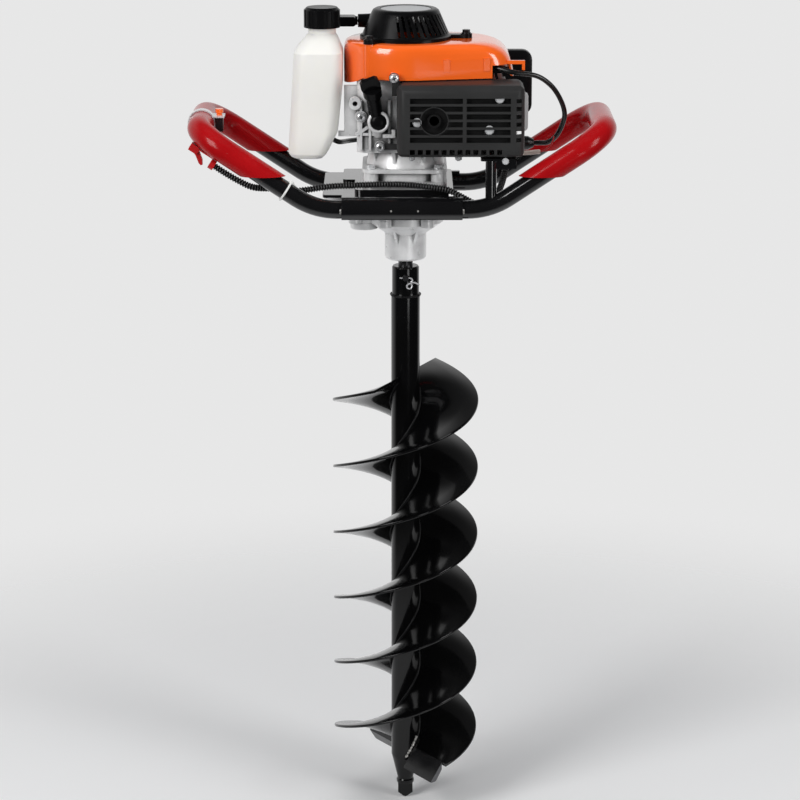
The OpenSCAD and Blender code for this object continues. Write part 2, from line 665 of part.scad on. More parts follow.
// Finned cylinder with its head, toward +X
cyl_z = z_shroud - 53;
head_x = 108;
head_end = 132;
port_in = (head_x + head_end) / 2;
module engine_cylinder() color("#bfc2c5") difference() {
  union() {
    block([48 + seat_gap, -44, cyl_z - 44], [56, 44, cyl_z + 44]);
    block([50, -34, cyl_z - 34], [head_end, 34, cyl_z + 34]);
    for (i = [0:7]) block([60 + 6 * i, -48, cyl_z - 47.8], [62.4 + 6 * i, 48, cyl_z + 46]);
    block([head_x, -44, cyl_z - 54], [head_end, 44, cyl_z + 44]);
    translate([port_in, 0, cyl_z]) to_front() cylinder(r = 11, h = 52);
    translate([port_in, 0, cyl_z + 3]) rotate([-90, 0, 0]) cylinder(r = 11, h = 48);
  }
  for (i = [0:1]) block([head_x + 6 + 8 * i, -60, cyl_z + 36], [head_x + 10 + 8 * i, 60, cyl_z + 60]);
  for (i = [0:1], s = [-1, 1]) block([head_x + 6 + 8 * i, s * 49 - 10, cyl_z - 60],
    [head_x + 10 + 8 * i, s * 49 + 10, cyl_z + 60]);
  translate([head_end - 12, 0, cyl_z - 45]) to_right() cylinder(r = 5.2, h = 20);
}
module rocker_cover() color("#d0d2d4") rotate([90, 0, 90]) at_z(head_end + seat_gap) {
  linear_extrude(4) round_rect(-40, 40, cyl_z - 33, cyl_z + 41, 9);
  linear_extrude(19) round_rect(-36, 36, cyl_z - 29, cyl_z + 37, 10);
}

// Ignition: plug and boot on the head, coil beside the flywheel
plug_z = cyl_z - 45;
module spark_plug() color("#d8d5cc") translate([head_end, 0, plug_z]) to_right() {
  at_z(-10) cylinder(r = 5, h = 11);
  at_z(seat_gap) hex(16, 8);
  at_z(8) cylinder(r = 5, h = 24);
}
boot_x = head_end + 9;
boot_end = boot_x + 34;
module plug_boot() color("#1a1a1b") translate([boot_x, 0, plug_z]) to_right() difference() {
  union() {
    cylinder(r = 9.5, h = 26);
    at_z(26) cylinder(r1 = 9.5, r2 = 5.5, h = 8);
  }
  at_z(-1) cylinder(r = 5 + seat_gap, h = 25);
}
module ignition_coil() color("#26262a") {
  block([84, -56, z_shroud + 4], [112, -38, z_shroud + 26]);
  block([56, -50, z_shroud], [118, -44, z_shroud + 5]);
}

// Leads: the thick ignition lead, the thin stop wire with its sleeve
lead_r = 3.4;
lead_run = [[112.6, -47, 14], [117, -47.3, 13.8], [129, -54, 11], [147, -58, 7], [176, -51, 1.5],
  [196, -43, -13], [209, -35, -33], [215, -28, -52], [213, -21, -68], [205, -14, -86]];
lead_points = [for (p = lead_run) [p[0], p[1], z_shroud + p[2]]];
lead_tail = [[194, -6, plug_z + 2], [186, -1.2, plug_z + 0.4], [180, 0, plug_z], [boot_end + 0.4, 0, plug_z]];
module ht_lead() color("#141415") {
  p = smooth(concat(lead_points, lead_tail), 7);
  skin(hoops(p, [for (q = p) lead_r], 12, [0, 0, 1]));
}
module stop_wire() color("#b8a79a") {
  sleeve_z = bracket_z + 1.5;
  path = [[148.3, -49, sleeve_z], [152, -49, sleeve_z], [153, -49, sleeve_z], [166, -48, sleeve_z + 0.5],
    [182, -45.5, sleeve_z + 1.5], [183, -45.2, sleeve_z + 1.6], [190, -41, sleeve_z + 4],
    [198, -31, sleeve_z + 10], [201.6, -20, sleeve_z + 17.5]];
  p = smooth(path, 3);
  skin(hoops(p, [for (q = p) q[0] > 152.2 && q[0] < 182.8 ? 3.2 : 1.1], 10, [0, 0, 1]));
}

// Fan shroud: plan outline at a height, drawn in by an inset, with its right end at xr
function shroud_ring(inset, xr) = let (r = shroud_r - inset, rc = 34 - inset, yc = 28)
  concat(arc([0, 0], r, 80, 280, 30), arc([xr - rc, -yc], rc, -80, -2, 9), arc([xr - rc, yc], rc, 2, 80, 9));
shroud_rows = [[0, 0, 146], [0.3, 0, 143.4], [0.55, 0, 139.5], [0.7, 0.2, 135], [0.82, 0.7, 129],
  [0.91, 1.7, 121], [0.97, 3.7, 111], [1, 7, 100]];
skirt_drop = 12;
function skirt(p) = -skirt_drop * pow(min(1, max(0, (-58 - p[0]) / 26)), 0.7);
shroud_hole = 57;
function hole_ring(r) = [for (p = shroud_ring(0, 146)) r * unit(p)];
module shroud_shell() difference() {
  skin_loop(concat(
    [[for (p = shroud_ring(0, shroud_rows[0][2])) [p[0], p[1], z_shroud + skirt(p)]]],
    [for (s = shroud_rows) if (s[0] > 0) lift(shroud_ring(s[1], s[2]), z_shroud + s[0] * shroud_h)],
    [lift(hole_ring(shroud_hole), z_shroud + shroud_h)],
    [lift(hole_ring(shroud_hole), z_shroud + shroud_h - shell_t)],
    [for (s = reversed(shroud_rows)) if (s[0] > 0) lift(shroud_ring(s[1] + shell_t, s[2] - shell_t),
      z_shroud + s[0] * (shroud_h - shell_t))],
    [[for (p = shroud_ring(shell_t, shroud_rows[0][2] - shell_t)) [p[0], p[1], z_shroud + skirt(p)]]]));
  block([116, -80, z_shroud - 1], [152, -40, z_shroud + 17]);
}
module shroud_trims() {
  rotate(recoil_lugs[2][0]) translate([recoil_lugs[2][1], 0, z_shroud + 3])
    cylinder(r = 6.5, h = shroud_h - 3);
  for (x = [50, 104]) translate([x, -75.6 + 0.205 * (x - 50), z_shroud + 10]) rotate(11.6) cube([9, 6, 17]);
  translate([guard_top[0], -shroud_r + 5, guard_top[1]]) to_front() {
    cylinder(r = 6.5, h = 5.5);
    at_z(5) ring(6.5, 3.2, guard_lug - shroud_r - lug_t);
  }
  block([136, -48, z_shroud + 17], [160, -44, z_shroud + 22]);
  block([156, -48, z_shroud + 9], [160, -44, z_shroud + 18]);
}
module engine_shroud() color("#e2501a") {
  shroud_shell();
  shroud_trims();
}

// Recoil starter
rope_z = z_recoil + 19;
rope_r = 1.8;
rope_y = reel_r + rope_r + seat_gap;
outlet_x = -65;
module recoil_cover() color("#1c1c1e") difference() {
  union() {
    at_z(z_recoil + seat_gap) rotate_extrude() polygon([[recoil_r - 7, 0], [recoil_r, 0], [recoil_r, 4],
      [recoil_r - 3, 5.5], [46, recoil_h - 4.5], [44.5, recoil_h - 1.8], [41.5, recoil_h],
      [disc_r + 0.6, recoil_h], [disc_r + 0.6, recoil_h - 2], [0, recoil_h - 2], [0, recoil_h - 4.4],
      [40, recoil_h - 4.4], [43, recoil_h - 6], [recoil_r - 5.6, 5.5], [recoil_r - 7, 4]]);
    at_z(z_recoil + 11) cylinder(r = 8, h = recoil_h - 14);
    for (p = recoil_lugs) rotate(p[0]) {
      translate([p[1], 0, z_recoil + seat_gap]) cylinder(r = 8, h = 6 - seat_gap);
      block([recoil_r - 4, -7, z_recoil + seat_gap], [p[1], 7, z_recoil + 5]);
    }
    translate([outlet_x, rope_y, rope_z]) to_right() cylinder(r1 = 9, r2 = 10, h = 26);
  }
  translate([outlet_x - 1, rope_y, rope_z]) to_right() cylinder(r = rope_r + 0.7, h = 34);
  for (i = [0:recoil_slots - 1]) rotate(262 + 9 * i) translate([43, 0, z_recoil + 7.5]) rotate([12, 0, 0])
    translate([0, -1.7, 0]) cube([22, 3.4, recoil_h - 12.5]);
  bolt_holes("recoil");
}
module cover_disc() color("#d9dadb") at_z(z_recoil + recoil_h - 1.6) cylinder(r = disc_r, h = 1.2);
module starter_reel() color("#303033") at_z(rope_z - 6) rotate_extrude() polygon([[8 + run_fit, 0], [37, 0],
  [37, 1.5], [reel_r, 3.5], [reel_r, 8.5], [37, 10.5], [37, 12], [8 + run_fit, 12]]);
module starter_rope() color("#d8d4c8") translate([-70, rope_y, rope_z]) to_right()
  cylinder(r = rope_r, h = 66);
module starter_handle() color("#1a1a1b") difference() {
  union() {
    translate([0, rope_y + 13, 0]) to_front() linear_extrude(26)
      round_rect(outlet_x - 3 - handle_len, outlet_x - 2, rope_z - 6.5, rope_z + 6.5, 5);
    translate([outlet_x - 4, rope_y, rope_z]) to_right() cylinder(r = 6, h = 4 - move_gap);
  }
  translate([outlet_x - 7, rope_y, rope_z]) to_right() cylinder(r = rope_r + 0.4, h = 12);
}

// Fuel tank: level sections from the floor to the neck, then back down the inside
tank_y = -25;
tank_half = 40;
neck_x = -112.6;
neck_r = 18.7;
cap_r = 24.5;
tank_rows = [[12, -150, -113, 8, 10], [14, -154.5, -110.5, 4, 14], [18, -157.5, -107, 1, 16],
  [24, -158.3, -103.4, 0, 17], [42, -157, -94.4, 0, 18], [48, -156.6, -91.6, 0, 18],
  [108, -153, -85.4, 0, 18], [146, -150.6, -84.6, 0, 18], [154, -149.8, -84.8, 0.6, 18],
  [157, -148, -85.4, 2.2, 18], [174, -135, -91, 18, 20]];
function tank_ring(s, wall) = lift(round_ring(s[1] + wall, s[2] - wall, tank_y - tank_half + s[3] + wall,
  tank_y + tank_half - s[3] - wall, s[4] - wall * 0.6, 7), z_crank + s[0]);
function neck_ring(r, z) = lift(
  round_ring(neck_x - r, neck_x + r, tank_y - r, tank_y + r, r - 0.01, 7), z_crank + z);
module fuel_tank() color("#e9e9e4") skin(concat(
  [for (s = tank_rows) tank_ring(s, 0)],
  [neck_ring(neck_r, 178), neck_ring(neck_r, 187), neck_ring(neck_r - 3, 187), neck_ring(neck_r - 3, 176)],
  [for (i = [len(tank_rows) - 1:-1:2]) tank_ring(tank_rows[i], shell_t)]));
module fuel_cap() color("#19191a") translate([neck_x, tank_y, z_crank]) difference() {
  union() {
    at_z(186) cylinder(r = cap_r, h = 23);
    at_z(209) cylinder(r1 = cap_r, r2 = cap_r - 4, h = 4);
  }
  at_z(185) cylinder(r = neck_r + move_gap, h = 2.5);
  for (i = [0:13]) rotate(i * 360 / 14) translate([cap_r + 1.6, 0, 188]) cylinder(r = 3, h = 30, $fn = 24);
}
module fuel_hose() color("#2b2b2b") {
  low_run = [[-99.8, -2, 29.7], [-91.5, -1, 25.6], [-78, 34, 21], [-50, 68, 20], [0, 74, 34]];
  end_run = [[60, 74, cyl_z - 15], [92, 71.4, cyl_z - 7.5], [port_in - 16.6, 71, cyl_z - 7]];
  p = smooth(concat([for (q = low_run) q + [0, 0, z_crank]], end_run), 12);
  skin(hoops(p, [for (q = p) 3.4], 10, [0, 0, 1]));
}

// Oil filler
module oil_neck() color("#19191a") oil_frame() difference() {
  at_z(seat_gap) cylinder(r = oil_neck_r, h = oil_len - seat_gap);
  at_z(4) cylinder(r = 7.5, h = oil_len);
}
module oil_cap() color("#19191a") oil_frame() {
  at_z(oil_len - 20) cylinder(r = 7.4, h = 21);
  at_z(oil_len + seat_gap) cylinder(r = 12.5, h = 10);
  at_z(oil_len + 10) rotate([0, -10, 10]) translate([0, 3, 0]) to_front() linear_extrude(6)
    polygon([[-12, 0], [12, 0], [13.5, 6], [12.5, 15], [9, 18], [-9, 18], [-12.5, 15], [-13.5, 6]]);
}

// Intake side: carburettor, its levers and the air cleaner
carb_top = cyl_z + 21;
choke_at = [port_in - 8, 70];
throttle_at = [port_in + 8, 70];
module carburettor() color("#b7babd") {
  block([port_in - 18, 48 + seat_gap, cyl_z - 19], [port_in + 18, 52, cyl_z + 25]);
  translate([port_in, 50, cyl_z + 3]) rotate([-90, 0, 0]) cylinder(r = 13, h = 37.5);
  block([port_in - 16, 57, cyl_z - 15], [port_in + 16, 84, carb_top]);
  translate([port_in, 71, cyl_z - 33]) cylinder(r = 13, h = 19);
  for (p = [choke_at, throttle_at]) translate([p[0], p[1], carb_top - 1]) cylinder(r = 2, h = 6);
  block([port_in + 14, 64, cyl_z - 13], [port_in + 32, 80, cyl_z - 9]);
}
module lever(reach) difference() {
  union() {
    cylinder(r = 4.5, h = 3);
    translate([0, -2.5, 0]) cube([reach, 5, 3]);
    translate([reach, 0, 0]) cylinder(r = 3.5, h = 3);
  }
  at_z(-1) cylinder(r = 2 + run_fit, h = 5);
}
module choke_lever() color("#2a2a2c") translate([choke_at[0], choke_at[1], carb_top + move_gap])
  rotate(150) lever(20);
module throttle_arm() color("#a5a8ab") translate([throttle_at[0], throttle_at[1], carb_top + move_gap])
  rotate(-20) lever(14);
cleaner_x0 = 78;
cleaner_x1 = 176;
cleaner_z0 = cyl_z - 21;
cleaner_z1 = cyl_z + 69;
module air_cleaner() color("#1d1d1f") {
  rows = [[88, 5], [90, 1], [92, 0], [106, 0], [111, 1.6], [114.5, 5.5], [116, 11]];
  rotate([-90, 0, 0]) skin([for (s = rows) lift(round_ring(cleaner_x0 + s[1], cleaner_x1 - s[1],
    s[1] - cleaner_z1, -cleaner_z0 - s[1], 14, 5), s[0])]);
}

// Exhaust side: muffler, and the slotted guard around it
port_x = 37.7;
port_z = guard_z1 - 47.5;
muffler_x0 = guard_x0 + 15;
muffler_x1 = guard_x1 - 14;
muffler_z0 = guard_z0 + 13;
muffler_z1 = guard_z1 - 10.5;
muffler_wall = 2;
shield_end = guard_x1 + 6.5;
module muffler() color("#cfd1d3") to_front() difference() {
  union() {
    at_z(64) linear_extrude(muffler_front - 64)
      round_rect(muffler_x0, muffler_x1, muffler_z0, muffler_z1, 12);
    at_z(55.6) linear_extrude(2) round_rect(50, shield_end, cyl_z - 19, cyl_z + 34, 6);
    translate([port_in, cyl_z, 52 + seat_gap]) cylinder(r = 11, h = 13);
    translate([port_x, port_z, muffler_front - 1]) cylinder(r = 9, h = 8);
  }
  at_z(64 + muffler_wall) linear_extrude(muffler_front - 64 - 2 * muffler_wall)
    round_rect(muffler_x0 + muffler_wall, muffler_x1 - muffler_wall,
      muffler_z0 + muffler_wall, muffler_z1 - muffler_wall, 10);
  translate([port_x, port_z, muffler_front - 5]) cylinder(r = 6.6, h = 20);
  for (p = muffler_spots) translate([p[0], guard_z1 - p[1], muffler_front - 8]) cylinder(r = 3.2, h = 10);
}

// Box with round corners seen from the front, and round front edges; z is the distance toward the viewer
module front_box(x0, x1, y0, y1, w0, w1, r, edge) intersection() {
  at_z(w0) linear_extrude(w1 - w0) round_rect(x0, x1, y0, y1, r);
  translate([0, y1 + 1, 0]) rotate([90, 0, 0]) linear_extrude(y1 - y0 + 2)
    round_rect(x0, x1, w0 - 30, w1, edge);
  translate([x0 - 1, 0, 0]) rotate([90, 0, 90]) linear_extrude(x1 - x0 + 2)
    round_rect(y0, y1, w0 - 30, w1, edge);
}
module guard_slots() {
  for (i = [0:5]) let (z = guard_z1 - 20.9 - guard_pitch * i) {
    for (x = [[5.5, 75.5], [80.5, 139]]) translate([x[0], z - guard_slot / 2, guard_front - 10])
      cube([x[1] - x[0], guard_slot, 20]);
    translate([146.5, z - 2.8, guard_front - 14]) cube([7, 5.6, 20]);
  }
}
module muffler_guard() color("#232325") to_front() difference() {
  union() {
    difference() {
      front_box(guard_x0, guard_x1, guard_z0, guard_z1, guard_back, guard_front, 11, guard_edge);
      front_box(guard_x0 + shell_t, guard_x1 - shell_t, guard_z0 + shell_t, guard_z1 - shell_t,
        guard_back - 1, guard_front - shell_t, 11 - shell_t, guard_edge - shell_t);
    }
    translate([port_x, port_z, guard_front - shell_t]) cylinder(r = 20.2, h = shell_t + 1);
    translate([guard_top[0], guard_top[1], guard_lug - lug_t + seat_gap])
      cylinder(r = 7, h = lug_t - seat_gap);
    translate([guard_top[0] - 3, guard_z1 - 18, guard_lug - lug_t + seat_gap])
      cube([10, guard_top[1] - guard_z1 + 18, lug_t - seat_gap]);
    translate([guard_low[0], guard_low[1], 67 - lug_t + seat_gap]) cylinder(r = 6.5, h = lug_t - seat_gap);
    translate([guard_low[0], guard_low[1] - 4, 67 - lug_t + seat_gap])
      cube([guard_x0 + 1 - guard_low[0], 8, lug_t - seat_gap]);
  }
  difference() {
    guard_slots();
    translate([port_x, port_z, 0]) cylinder(r = 19, h = 200);
  }
  translate([port_x, port_z, guard_front - 20]) cylinder(r = 18, h = 40);
  for (i = [0:11]) translate([5.4 + 10.55 * i, guard_z0 + 4.4, guard_front - 14]) cube([6.6, 7.2, 20]);
  for (p = [guard_top, guard_low]) translate([p[0], p[1], 50]) cylinder(r = 3.2, h = 50);
}

// Hand controls on the left loop
pivot_s = arm_len - 8;
loom_s = arm_len - 42;
pivot_y = -20;
pivot_z = -grip_r - 6.4;
plate_z = -grip_r - 2.2;
loom_in = -grip_r - 7.8;
module throttle_bracket() color("#c8161d") left_arm() {
  for (y = [-27, -16.5]) translate([pivot_s - 6, pivot_y + y + 20, pivot_z - 4]) cube([13, 3.4, 9.9]);
  translate([pivot_s - 6, pivot_y - 7, plate_z]) cube([13, 13.9, 1.7]);
  translate([pivot_s, pivot_y + 6, pivot_z]) to_front() cylinder(r = 2, h = 12);
  translate([loom_s + 4, -15, plate_z]) cube([26, 9, 1.7]);
  translate([loom_s, -3, loom_in]) to_right() ring(7, loom_d / 2 + 0.3, 7);
  translate([loom_s, -13, loom_in]) cube([7, 4.8, plate_z + 1.7 - loom_in]);
}
module throttle_trigger() color("#c8161d") left_arm() translate([pivot_s, pivot_y - 3.2, pivot_z])
  rotate([90, 0, 0]) mirror([0, 0, 1]) linear_extrude(6.4) difference() {
    union() {
      circle(3.4);
      polygon([[2.4, -2.4], [-2, 2.4], [-8, 0.8], [-17, -6], [-20.5, -11.5], [-19, -13.5],
        [-15, -12.5], [-6, -6]]);
    }
    circle(2 + run_fit);
  }
loop_x = handle_dx - bend_x - arm_len * cos(arm_deg);
loop_z = bar_z + arm_len * sin(arm_deg);
module switch_plate() color("#c9cbcd") difference() {
  union() {
    translate([loop_x, -6, loop_z]) to_front() ring(grip_r + 2, grip_r + seat_gap, 13);
    block([loop_x + 12, -24, loop_z + 8.5], [loop_x + 31, 4, loop_z + 10.5]);
    block([loop_x + 18.5, -20, loop_z - 11], [loop_x + 29, -2, loop_z + 9]);
  }
  translate([loop_x, 30, loop_z]) to_front() cylinder(r = grip_r + seat_gap, h = 80);
  translate([loop_x + 23.8, -11, loop_z]) cylinder(r = 4.1, h = 30);
}
module stop_button() color("#d8481c") translate([loop_x + 23.8, -11, loop_z + 4]) {
  cylinder(r = 4.05 - run_fit, h = 10.5);
  at_z(10.2) cylinder(r = 5.4, h = 5.2);
}

// Ribbed loom from the throttle bracket to the carburettor, with its tie on the left arm
arm_places = [[loom_s - seat_gap, -3, loom_in], [loom_s - 16, -2, loom_in], [108, 0, -23.5], [86, -4, -21],
  [66, -16, -12.5], [54, -19.8, -5], [42, -20.6, -3]];
bar_places = [[-134, 20, 23], [-105, 16.5, 28], [-75, 15, 30], [-8, 14.5, 31.5], [46, 14.5, 26],
  [60, 14.8, 22.5], [74, 15.5, 15], [93, 19, 4], [107, 24, -4], [117, 38, -7], [121, 70, -7],
  [127, 110, 0], [137, 148, 20], [144, 167, 60], [146, 171.3, 97], [146, 171.5, 104.4]];
loom_points = concat(
  [for (q = arm_places) let (c = cos(arm_deg), s = sin(arm_deg))
    [handle_dx - bend_x - q[0] * c + q[2] * s, -bar_y - q[1], bar_z + q[0] * s + q[2] * c]],
  [for (q = bar_places) q + [0, -bar_y, bar_z]]);
module cable_loom() color("#161617") {
  p = smooth(loom_points, 1.75);
  last = len(p) - 1;
  ribs = hoops(p, [for (i = [0:last]) loom_d / 2 - (i % 2) * 0.9], 8, [0, 1, 0]);
  bore = hoops(p, [for (q = p) loom_d / 2 - 2], 8, [0, 1, 0]);
  skin_loop(concat(ribs, [bore[last]], [for (i = [last - last % 6:-6:0]) bore[i]]));
}
module cable_tie() color("#ecece8") left_arm() translate([44, 0, 0]) to_right() linear_extrude(5)
  difference() {
    union() {
      circle(bar_r + 1.8);
      translate([3.4, -20.4]) circle(loom_d / 2 + 2.2);
    }
    circle(bar_r + 0.3);
    translate([3.4, -20.4]) circle(loom_d / 2 + 1);
  }

front_tube();
rear_tube();
left_grip();
right_grip();
base_plate();
engine_plate();
support_strut();
flange_bolts();
gearbox_case();
gearbox_cover();
output_bearings();
small_bearings();
clutch_housing();
crankcase();
engine_cylinder();
rocker_cover();
spark_plug();
plug_boot();
ignition_coil();
ht_lead();
stop_wire();
engine_shroud();
recoil_cover();
cover_disc();
fuel_tank();
fuel_hose();
oil_neck();
carburettor();
air_cleaner();
muffler();
muffler_guard();
throttle_bracket();
switch_plate();
cable_loom();
cable_tie();
starter_rope();
output_shaft();
output_gear();
auger_tube();
drive_socket();
coupling_pin();
flight_a();
flight_b();
cutter_blades();
pilot_point();
r_clip();
layshaft();
lay_gear();
clutch_drum();
crankshaft();
clutch_shoes();
flywheel();
starter_reel();
starter_handle();
throttle_trigger();
stop_button();
choke_lever();
throttle_arm();
fuel_cap();
oil_cap();
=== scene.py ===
"""Looks of a one-operator earth auger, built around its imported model.

Metres, +Z up, pilot tip at the origin. Lengths are written as millimetres times MM.
"""
import json
import math

import bpy
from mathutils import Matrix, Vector


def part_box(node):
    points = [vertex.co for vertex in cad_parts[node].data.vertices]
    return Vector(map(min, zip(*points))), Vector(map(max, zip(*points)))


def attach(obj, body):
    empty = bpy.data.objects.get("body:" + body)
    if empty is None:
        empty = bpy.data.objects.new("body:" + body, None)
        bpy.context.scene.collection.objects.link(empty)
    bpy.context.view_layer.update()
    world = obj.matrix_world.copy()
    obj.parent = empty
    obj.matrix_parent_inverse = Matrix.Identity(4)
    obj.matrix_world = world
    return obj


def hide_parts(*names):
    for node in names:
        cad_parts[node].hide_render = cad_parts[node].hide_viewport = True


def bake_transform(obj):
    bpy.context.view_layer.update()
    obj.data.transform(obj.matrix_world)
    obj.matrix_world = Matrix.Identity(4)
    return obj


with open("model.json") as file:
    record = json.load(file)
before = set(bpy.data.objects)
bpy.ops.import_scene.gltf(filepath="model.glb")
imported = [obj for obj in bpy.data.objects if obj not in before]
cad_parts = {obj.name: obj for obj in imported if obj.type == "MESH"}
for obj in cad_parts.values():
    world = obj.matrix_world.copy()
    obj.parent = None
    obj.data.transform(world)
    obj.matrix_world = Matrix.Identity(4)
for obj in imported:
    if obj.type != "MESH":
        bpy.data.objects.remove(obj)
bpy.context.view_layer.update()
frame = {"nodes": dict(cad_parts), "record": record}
nodes = frame["nodes"]
slots = {part["node"]: part["material_slot"] for part in frame["record"]["subparts"]}
MM = 0.001

# Sizes that the looks share with the model
TUBE_R = 20 * MM
FLIGHT_R = 102 * MM
FLIGHT_LEAD = 194 * MM
FLIGHT_T = 4 * MM
FLIGHT_TOP = 630 * MM
FLIGHT_LOW = 80 * MM
FLIGHT_ANGLE = math.radians(65)
FLIGHT_TURN = 2 * math.pi * (FLIGHT_TOP - FLIGHT_LOW) / FLIGHT_LEAD
FLIGHTS = {"a": FLIGHT_ANGLE, "b": FLIGHT_ANGLE + math.pi}
SOCKET_FOOT = 746 * MM
Z_CRANK = 934 * MM
Z_SHROUD = 1056 * MM
Z_BRACKET = 951 * MM
PLUG_Z = Z_CRANK + 24 * MM
BAR_Y = 100 * MM
BAR_Z = 885 * MM
ARM = math.radians(33.5)
ARM_FOOT_X = -122 * MM
LOOM_R = 4.7 * MM
LEAD_R = 3.4 * MM
HOSE_R = 3.4 * MM
WIRE_R = 1.1 * MM
SLEEVE_R = 3.2 * MM
ROPE_R = 1.8 * MM

# Camera of the photograph
CAMERA_TARGET = Vector((-0.0077, 0, 0.594))
CAMERA_DISTANCE = 4.068
CAMERA_TILT = math.radians(15)
CAMERA_LENS = 130.8
CAMERA_SENSOR = 36


def add_camera():
    data = bpy.data.cameras.new("camera")
    data.lens = CAMERA_LENS
    data.sensor_width = CAMERA_SENSOR
    camera = bpy.data.objects.new("camera", data)
    bpy.context.scene.collection.objects.link(camera)
    back = Vector((0, -math.cos(CAMERA_TILT), math.sin(CAMERA_TILT)))
    camera.location = CAMERA_TARGET + back * CAMERA_DISTANCE
    camera.rotation_euler = (-back).to_track_quat("-Z", "Y").to_euler()
    bpy.context.scene.camera = camera


# Node tools
def add_node(tree, kind, sockets=None, **settings):
    """A new node with its settings, and with values on sockets given by name or number."""
    node = tree.nodes.new(kind)
    for name, value in settings.items():
        setattr(node, name, value)
    for socket, value in (sockets or {}).items():
        node.inputs[socket].default_value = value
    return node


def passage(tree, value, low, high, start, end, kind="LINEAR"):
    """A passage from start to end while a value goes from low to high."""
    limits = {"From Min": low, "From Max": high, "To Min": start, "To Max": end}
    step = add_node(tree, "ShaderNodeMapRange", limits, interpolation_type=kind)
    tree.links.new(value, step.inputs["Value"])
    return step.outputs["Result"]


